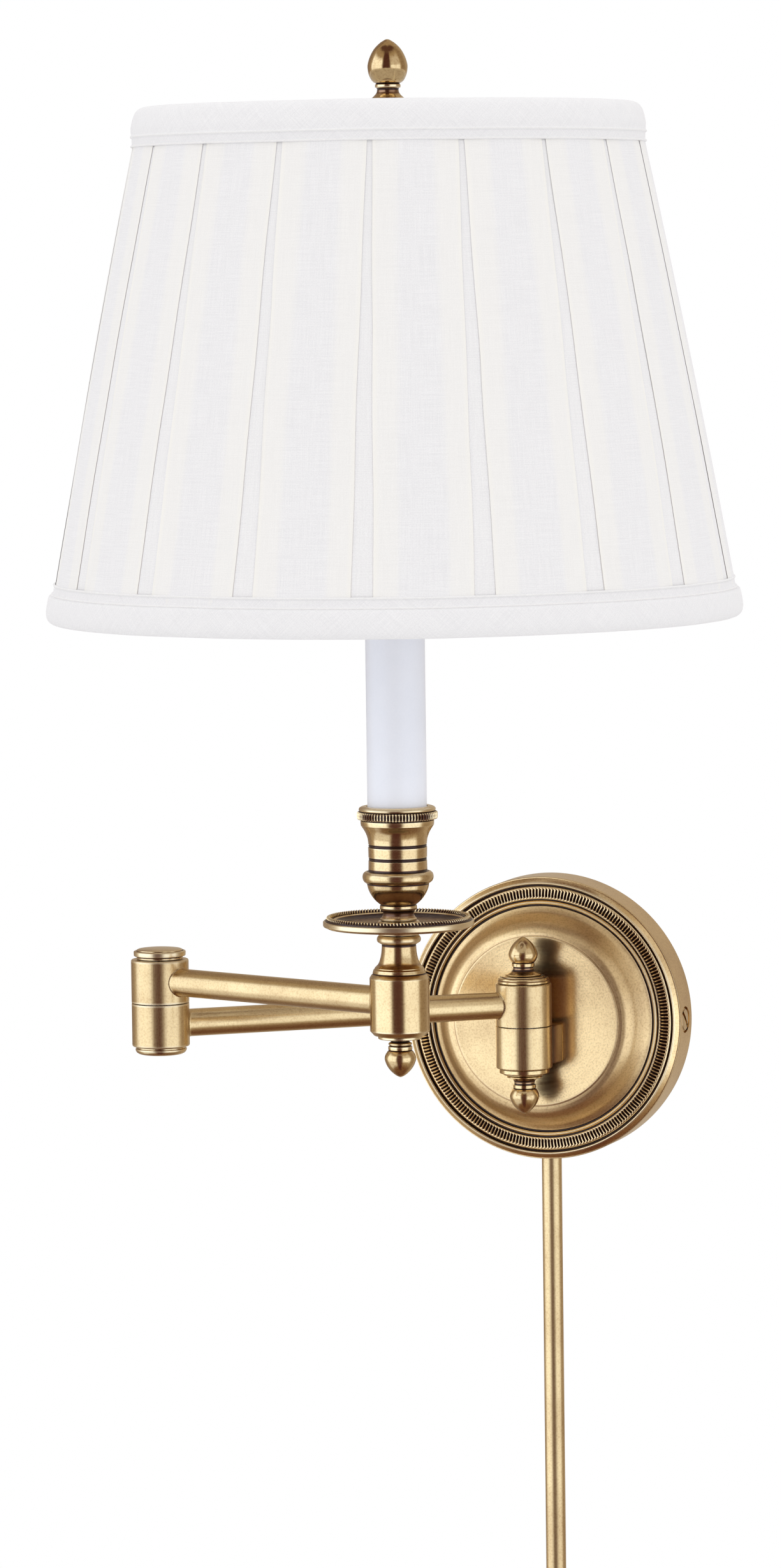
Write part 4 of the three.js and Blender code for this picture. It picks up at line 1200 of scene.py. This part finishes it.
def make_switch_key():
    outline = [
        (0, 10), (2.2, 10, 0.2), (2.2, 22.6), (2.3, 23.0, 0.2), (3.3, 23.2, 0.3),
        *smooth([
            (3.6, 24.5), (4.6, 27.0), (5.4, 29.6), (5.5, 32.2), (4.8, 34.4), (3.2, 35.7),
            (0, 36.1),
        ]),
    ]
    mesh = lathe("switch_key", rounded(outline, 0.3, False), False, 64)
    flat_from, flat_half = 24.0, 2.1
    for vertex in mesh.vertices:
        share = min(max((vertex.co.z / MM - flat_from) / 4.0, 0.0), 1.0)
        squeezed = flat_half * MM * math.tanh(vertex.co.y / (flat_half * MM))
        vertex.co.y += share * (squeezed - vertex.co.y)
    lo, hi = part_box("switch_key")
    place = Matrix.Translation((POST.x, POST.y, (lo.z + hi.z) / 2))
    piece("switch_key", mesh, BLACK_PLASTIC, place @ onto_wall())


def make_lamp():
    glass = [
        *smooth([
            (11.2, 0), (12.6, 6), (15.2, 13), (19.6, 22), (24.6, 31), (28.6, 40), (30.0, 49),
            (29.2, 58), (25.6, 67), (19.4, 74), (10.8, 78.6), (0, 80),
        ]),
        *smooth([
            (0, 79), (10.4, 77.7), (18.8, 73.2), (24.8, 66.4), (28.3, 57.8), (29.1, 49),
            (27.7, 40.3), (23.8, 31.4), (18.8, 22.4), (14.3, 13.4), (11.6, 6.1), (10.2, 0),
        ]),
    ]
    turned("bulb_glass", POST, glass, FROSTED, fillet=0)
    base = [
        (0, 0), (4.2, 0, 0.5), (4.8, 1.0, 0.3), (5.2, 1.6, 0.3), (8.5, 3.0), (11.8, 4.6, 0.5),
        *[(12.8, 6 + 0.45 * k) for k in range(36)], (12.7, 22.6, 0.3), (13.0, 23.2, 0.3),
        (13.0, 25.4, 0.2), (12.3, 25.6), (12.2, 7), (0, 6.5),
    ]

    def thread(angles, outline):
        heights = outline[:, 1]
        window = np.clip(np.minimum(heights - 6.5, 21.5 - heights), 0, 1) * (outline[:, 0] > 12.5)
        wave = 0.5 + 0.5 * np.cos(TAU * heights[:, None] / 3.6 - angles[None, :])
        return -0.8 * wave * window[:, None], 0.2 * wave * window[:, None]

    turned("bulb_base", POST, base, ALUMINIUM, closed=False, relief=thread, fillet=0.2)


# ---- shade ----

PLEATS = 18
FIRST_GAP = math.radians(-76.65)
TWIST_LOW = math.radians(-0.35)     # the pleats lean a little round the shade
TWIST_RISE = math.radians(1.25)
CLOTH_ROWS = 56
CLOTH_THICK = 0.13
PANEL_TOP, PANEL_BOTTOM = 36.1, 43.1
BOTTOM_TUCK = 3.0       # width of cloth in each layer of a fold, at the bottom
DOUBLED = 11.0          # width beside a panel's edge where the tucked cloth shows through
FOLD_LEVEL = 0.17       # between the layers of a fold
TRIM_HEIGHT = 17.5
TRIM_THICK = 0.35
LINING_THICK = 0.3
SHADE_WIRE = 1.4        # radius of the wires of the shade's frame


class Shade:
    """The cone of the shade, read from the CAD nodes, in mm."""

    def __init__(self):
        self.low, self.high = low_z("shade_trim_lower"), high_z("shade_trim_upper")
        cloth_low, cloth_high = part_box("shade_fabric")
        self.cloth_low, self.cloth_high = cloth_low.z / MM, cloth_high.z / MM
        nodes = frame["nodes"]["shade_fabric"].data.vertices
        radii = [(math.hypot(v.co.x - POST.x, v.co.y - POST.y) / MM, v.co.z / MM) for v in nodes]
        self.bottom = max(r for r, z in radii if z < self.cloth_low + 0.1)
        self.top = max(r for r, z in radii if z > self.cloth_high - 0.1)

    def share(self, z):
        return (z - self.cloth_low) / (self.cloth_high - self.cloth_low)

    def cone(self, z):
        return self.bottom + self.share(z) * (self.top - self.bottom)

    def cloth(self, z):
        """Outside of the pleats: the cone, blown out a little between its two wires."""
        return self.cone(z) + 0.35 + 1.0 * np.sin(math.pi * np.clip(self.share(z), 0, 1))


def ripple(angle, z, seed):
    """Slow unevenness of stretched cloth, from -1 to 1, the same at every run."""
    total = 0.0
    for k in range(1, 5):
        total = total + np.sin(3 * k * angle + 0.023 * k * z + seed * 1.7 * k) / k
        total = total + np.sin(7 * k * angle - 0.041 * z + seed * 2.9 + k) / (k + 1)
    return total / 3.4


def pleat_section(panel, pitch, tuck):
    """One box pleat from panel edge to panel edge, as (distance along the shade, depth, tint)."""
    level, half, shares = FOLD_LEVEL, panel / 2, (0.05, 0.5, 0.95)
    turn = np.linspace(-math.pi / 2, math.pi / 2, 5)[1:-1]
    points = []
    for s in np.linspace(-half, half, 19):
        crown = 0.35 * (1 - (s / half) ** 2)
        doubled = 0.5 + 0.5 * math.tanh((abs(s) - half + DOUBLED) / 1.2)
        # edge: a painted highlight along each panel's edge
        edge = math.exp(-((half - abs(s)) / 1.2) ** 2)
        points.append((s, crown, 0.45 * doubled + 0.3 * edge))
    bend = level / 2
    # the roll over the panel's edge has a painted highlight (tint 0.3); the layers of the fold
    # beneath have painted shade (tints below 0)
    points += [(half + bend * math.cos(a), -bend - bend * math.sin(a), 0.3) for a in turn]
    points += [(half - share * tuck, -level, -0.5) for share in shares]
    near = half - tuck
    points += [(near - bend * math.cos(a), -level - bend - bend * math.sin(a), -0.4) for a in turn]
    across = pitch - panel
    points += [(near + share * tuck, -2 * level, -0.6) for share in shares]
    for share in (0.04, 0.2, 0.5, 0.8, 0.96):
        # across the gap: painted shade lines along both of its edges
        points.append((half + share * across, -2 * level, 0.2 - 0.9 * abs(2 * share - 1) ** 12))
    points += [(half + across + share * tuck, -2 * level, -0.6) for share in shares]
    far = half + across + tuck
    points += [(far + bend * math.cos(a), -level - bend + bend * math.sin(a), -0.4) for a in turn]
    points += [(far - share * tuck, -level, -0.5) for share in shares]
    points += [(half + across - bend * math.cos(a), -bend + bend * math.sin(a), 0.3) for a in turn]
    return np.array(points)


def make_shade_cloth(shade):
    """The cloth is one straight strip, so the folds are deeper at the top than at the bottom."""
    heights = np.linspace(shade.cloth_low + 0.4, shade.cloth_high - 0.6, CLOTH_ROWS)
    rows, tints = [], []
    strip_per_pleat = TAU * shade.cloth(heights[0]) / PLEATS + 4 * BOTTOM_TUCK
    for z in heights:
        radius = shade.cloth(z)
        pitch = TAU * radius / PLEATS
        panel_width = PANEL_BOTTOM + shade.share(z) * (PANEL_TOP - PANEL_BOTTOM)
        section = pleat_section(panel_width, pitch, (strip_per_pleat - pitch) / 4)
        row, tint = [], []
        for k in range(PLEATS):
            middle = FIRST_GAP + TWIST_LOW + shade.share(z) * TWIST_RISE + (k + 0.5) * TAU / PLEATS
            wander = 0.25 * math.sin(0.031 * z + 2.3 * k) + 0.15 * math.sin(0.083 * z + 5.1 * k)
            angle = middle + (section[:, 0] + wander) / radius
            swell = 0.22 * ripple(angle, z, 1.0)
            depth = radius + section[:, 1] + swell
            row.append(turned_points(depth, angle, z))
            tint.append(section[:, 2])
        rows.append(np.concatenate(row))
        tints.append(np.concatenate(tint))
    rows = np.array(rows)
    columns = rows.shape[1]
    faces, corners = grid_faces(len(rows), columns, False, True)
    slant = lengths_along(rows[:, 0]) * MM
    around = lengths_along(ring_of(rows[CLOTH_ROWS // 2])) * MM
    uvs = np.stack([around[corners[..., 1]], slant[corners[..., 0]]], axis=-1)
    values = {"tint": np.concatenate(tints)}
    mesh = tidy(new_mesh("pleats", rows.reshape(-1, 3) * MM, faces, uvs, values), 60)
    mesh = thickened(mesh, CLOTH_THICK)
    made = piece("shade_fabric", mesh, SHADE_CLOTH, place_at(POST, 0))
    return made, (strip_per_pleat * PLEATS * MM, float(slant[-1]))


def band_outline(shade, upper):
    """A bias band folded over the shade's wire, from outside to inside: its [radius, height] and
    its tint, which is 1 on the two ridges that the narrow strip at its edge lies between."""
    if upper:
        at = shade.high
        seat = shade.cloth(at - TRIM_HEIGHT) + 0.25
        outside = [
            (seat - 0.2, -17.6), (seat + 0.5, -17.6), (seat + 0.85, -17.1), (seat + 0.5, -16.6),
            (seat + 0.1, -16.3), (seat + 0.15, -14.9), (seat + 0.1, -13.8), (seat + 0.5, -13.5),
            (seat + 0.9, -13.0), (seat + 0.6, -12.5), (113.0, -12.0), (113.1, -9.5), (112.7, -7.0),
            (112.1, -4.6), (111.2, -2.6), (109.9, -1.1), (108.2, -0.25), (106.4, 0.0),
            (104.6, -0.5), (103.3, -1.8), (102.6, -4.0), (102.9, -8.0), (103.9, -13.5),
        ]
    else:
        at = shade.low
        seat = shade.cloth(at + TRIM_HEIGHT) + 0.25
        outside = [
            (seat - 0.2, 17.6), (seat + 0.5, 17.6), (seat + 0.85, 17.1), (seat + 0.5, 16.6),
            (seat + 0.3, 16.3), (seat + 0.55, 14.9), (seat + 0.8, 13.8), (seat + 1.3, 13.5),
            (seat + 1.75, 13.0), (seat + 1.6, 12.5), (152.6, 12.0), (153.3, 9.5), (153.8, 6.5),
            (153.9, 4.2), (153.5, 2.2), (152.4, 0.8), (150.9, 0.1), (149.3, 0.0), (147.6, 0.7),
            (146.6, 2.4), (146.0, 5.0), (145.2, 9.0), (144.3, 13.5),
        ]
    curve = np.array(smooth(outside, 3))
    drop = np.abs(curve[:, 1])
    piped = np.exp(-((drop - 17.1) / 0.45) ** 2) + np.exp(-((drop - 13.0) / 0.45) ** 2)
    return np.column_stack([curve[:, 0], curve[:, 1] + at]), np.clip(piped, 0, 1)


def make_trim(shade, node, upper):
    outline, tint = band_outline(shade, upper)
    segments = 360
    angles = circle(segments)
    drop = np.abs(outline[:, 1] - (shade.high if upper else shade.low))
    plain = np.exp(-((drop - 7.0) / 4.0) ** 2)
    pucker = 0.28 * ripple(angles[None, :], 6.0 * outline[:, 1:], 4.0 + upper) * plain[:, None]
    radius = outline[:, :1] + pucker
    height = np.repeat(outline[:, 1:], segments, axis=1)
    height = height + 0.16 * ripple(angles[None, :], 0 * height, 9.0 + upper)
    points = turned_points(radius, angles, height) * MM
    faces, corners = grid_faces(len(outline), segments, False, True)
    around = TAU * float(outline[:, 0].mean()) * MM / segments
    uvs = unrolled(corners, around, lengths_along(outline) * MM)
    tints = np.repeat(tint[:, None], segments, axis=1)
    mesh = tidy(new_mesh(node, points.reshape(-1, 3), faces, uvs, {"tint": 0.35 * tints}), 70)
    return piece(node, thickened(mesh, TRIM_THICK), BIAS_CLOTH, place_at(POST, 0))


def make_lining(shade):
    low, high = low_z("shade_lining"), high_z("shade_lining")
    inset = 2.6
    heights = np.linspace(low + 0.5, high - 0.5, 24)
    outline = [
        (shade.cone(z) - inset + 0.8 * math.sin(math.pi * shade.share(z)), z) for z in heights
    ]
    segments = 216
    angles = circle(segments)
    points = [
        turned_points(radius + 0.15 * ripple(angles, z, 7.0), angles, z) for radius, z in outline
    ]
    faces, corners = grid_faces(len(outline), segments, False, True)
    around = TAU * shade.cone(middle_z("shade_lining")) * MM / segments
    slant = math.dist(outline[0], outline[-1]) * MM
    uvs = unrolled(corners, around, np.arange(len(outline)) * slant / (len(outline) - 1))
    mesh = tidy(new_mesh("lining", np.concatenate(points) * MM, faces, uvs), 60)
    made = piece("shade_lining", thickened(mesh, LINING_THICK), LINING, place_at(POST, 0))
    return made, (around * segments, slant)


def make_shade_frame():
    z = middle_z("shade_ring_upper")
    ring_radii = []
    for node in ("shade_ring_upper", "shade_ring_lower"):
        low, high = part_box(node)
        ring_radius = (high.x - low.x) / 2 / MM - SHADE_WIRE
        ring_radii.append(ring_radius)
        path = turned_points(ring_radius, circle(180), 0.0) * MM
        path = path + [POST.x, POST.y, middle_z(node) * MM]
        piece(node, sweep(node, path, disc(SHADE_WIRE), closed=True), ENAMEL)
    hub = lathe("shade_spider", rounded([
        (3.4, 0), (13, 0, 0.4), (13, 1.7, 0.4), (9.5, 1.8), (8.5, 1.2, 0.4), (3.4, 1.2, 0.2),
    ], 0.3), True, 96)
    hub.transform(place_at(POST, z - 0.7))
    arms = []
    for angle in (90, 210, 330):
        a = math.radians(angle)
        reach = ring_radii[0] - SHADE_WIRE - 0.2
        path = [
            (POST.x + r * MM * math.cos(a), POST.y + r * MM * math.sin(a), z * MM)
            for r in np.linspace(10, reach, 12)
        ]
        arms.append(sweep("arm", path, disc(SHADE_WIRE)))
    piece("shade_spider", shaped(hub, "UNION", *arms), ENAMEL)


def make_shade_finial():
    outline = [
        (3.3, 0), (7.4, 0, 0.3), (7.4, 3.4, 0.3),
        *smooth([(7.1, 3.9), (5.9, 5.0), (5.0, 6.2), (4.7, 7.6)], 4), (4.9, 8.1, 0.1),
        (5.6, 8.5, 0.3), (5.6, 9.6, 0.3), (5.1, 10.2, 0.1),
        *smooth([
            (6.1, 10.6), (7.1, 11.6), (8.2, 13.8), (8.8, 16.9), (8.6, 19.2), (7.6, 22.2),
            (5.9, 25.2), (3.6, 27.6), (1.7, 28.9), (0.7, 29.4), (0, 29.5),
        ]),
        (0, 9.5), (3.3, 9.0, 0.2),
    ]
    turned("shade_finial", POST, outline, AMBER_BRASS)


def make_shade():
    shade = Shade()
    cloth_piece, cloth_flat = make_shade_cloth(shade)
    trims = [
        make_trim(shade, "shade_trim_upper", True), make_trim(shade, "shade_trim_lower", False),
    ]
    lining, lining_flat = make_lining(shade)
    make_shade_frame()
    make_shade_finial()


# ---- cord cover ----

COVER_RADIUS = 4.75     # outside of the tube


def make_cord_cover():
    axis = Vector((0, COVER_Y * MM))
    length = height_of("cord_cover_tube")
    tube = [
        (3.85, 0), (COVER_RADIUS, 0, 0.2), *[(COVER_RADIUS, length * k / 6) for k in range(1, 6)],
        (COVER_RADIUS, length, 0.2), (3.85, length),
    ]
    give(turned("cord_cover_tube", axis, tube, BRUSHED_BRASS).data, "satin", 0.3)
    bushing = [
        (3.85, 0, 0.4), (6.2, 0, 0.6), (6.2, 2.0, 0.2), (5.9, 2.4, 0.1), (6.2, 2.8, 0.2),
        (6.2, 9.5, 0.5), (5.05, 9.5, 0.2), (5.05, 2.7), (3.85, 2.7, 0.2),
    ]
    turned("cord_cover_bushing", axis, bushing, fillet=0.2)
    make_clip()


def make_clip():
    """A strap bent round the cord cover, with two screw feet on the wall."""
    lo, hi = box_mm("cord_cover_clip")
    middle = (lo.z + hi.z) / 2
    reach = COVER_RADIUS + 0.3 + 0.6
    turns = np.linspace(0, math.pi, 25)
    arc = [(reach * math.cos(a), COVER_Y - reach * math.sin(a)) for a in turns]
    right = rounded([(hi.x, -0.6), (reach, -0.6, 1.2), (reach, COVER_Y)], 0.3, False)
    left = [(-x, y) for x, y in right][::-1]
    flat = np.array([*right, *arc[1:-1], *left])
    path = np.column_stack([flat, np.full(len(flat), middle)]) * MM
    strap = sweep("clip", path, strip(hi.z - lo.z, 1.2, 0.3))
    holes = []
    for side in (-1, 1):
        hole = rod(1.7, -4, 4, 32, 0)
        hole.transform(Matrix.Translation((side * 10.5 * MM, 0, middle * MM)) @ onto_wall())
        holes.append(hole)
    piece("cord_cover_clip", shaped(strap, "DIFFERENCE", *holes), TURNED_BRASS)


# ---- hidden and half-hidden pieces ----

PLAIN_LOOKS = {
    "mounting_bar": ZINC, "wall_pin": ZINC, "wall_friction_washer": ZINC, "bracket_nipple": ZINC,
    "bracket_washer": ZINC, "bracket_nut": ZINC, "elbow_pin": ZINC, "elbow_friction_washer": ZINC,
    "post_pipe": ZINC, "cup_nut": ZINC, "lower_arm_lead": BROWN_LEAD, "upper_arm_lead": BROWN_LEAD,
    "post_lead": BROWN_LEAD,
}
BEVELLED = ("mounting_bar", "bracket_nut", "bracket_washer", "cup_nut")


def dress_cad_nodes():
    for name, material in PLAIN_LOOKS.items():
        node = frame["nodes"][name]
        node.data.materials.clear()
        node.data.materials.append(material)
        if name in BEVELLED:
            bevel = node.modifiers.new("edges", "BEVEL")
            bevel.width, bevel.segments = 0.25 * MM, 2
            bevel.limit_method, bevel.angle_limit = "ANGLE", math.radians(40)


def make_canopy_lead():
    top = high_z("cord_cover_tube")
    height = middle_z("bracket_nipple")
    route = smooth([
        (0, COVER_Y, top + 1), (0, -9, -46), (0, -9, -32), (0, -10, -19), (0, -14, -11.4),
        (0, -20, height), (0, -30, height), (0, -44, height),
    ], 6)
    lead = sweep("canopy_lead", np.array(route) * MM, disc(1.9), up=(1, 0, 0))
    piece("canopy_lead", lead, BROWN_LEAD)


# ---- all of it ----

make_canopy()
make_side_screws()
make_wall_bracket()
make_wall_hinge()
make_arms()
make_post()
make_bobeche()
make_candle_cup()
make_candle()
make_saddle()
make_harp()
make_lampholder()
make_lamp()
make_shade()
make_cord_cover()
make_canopy_lead()
dress_cad_nodes()

bpy.context.view_layer.update()
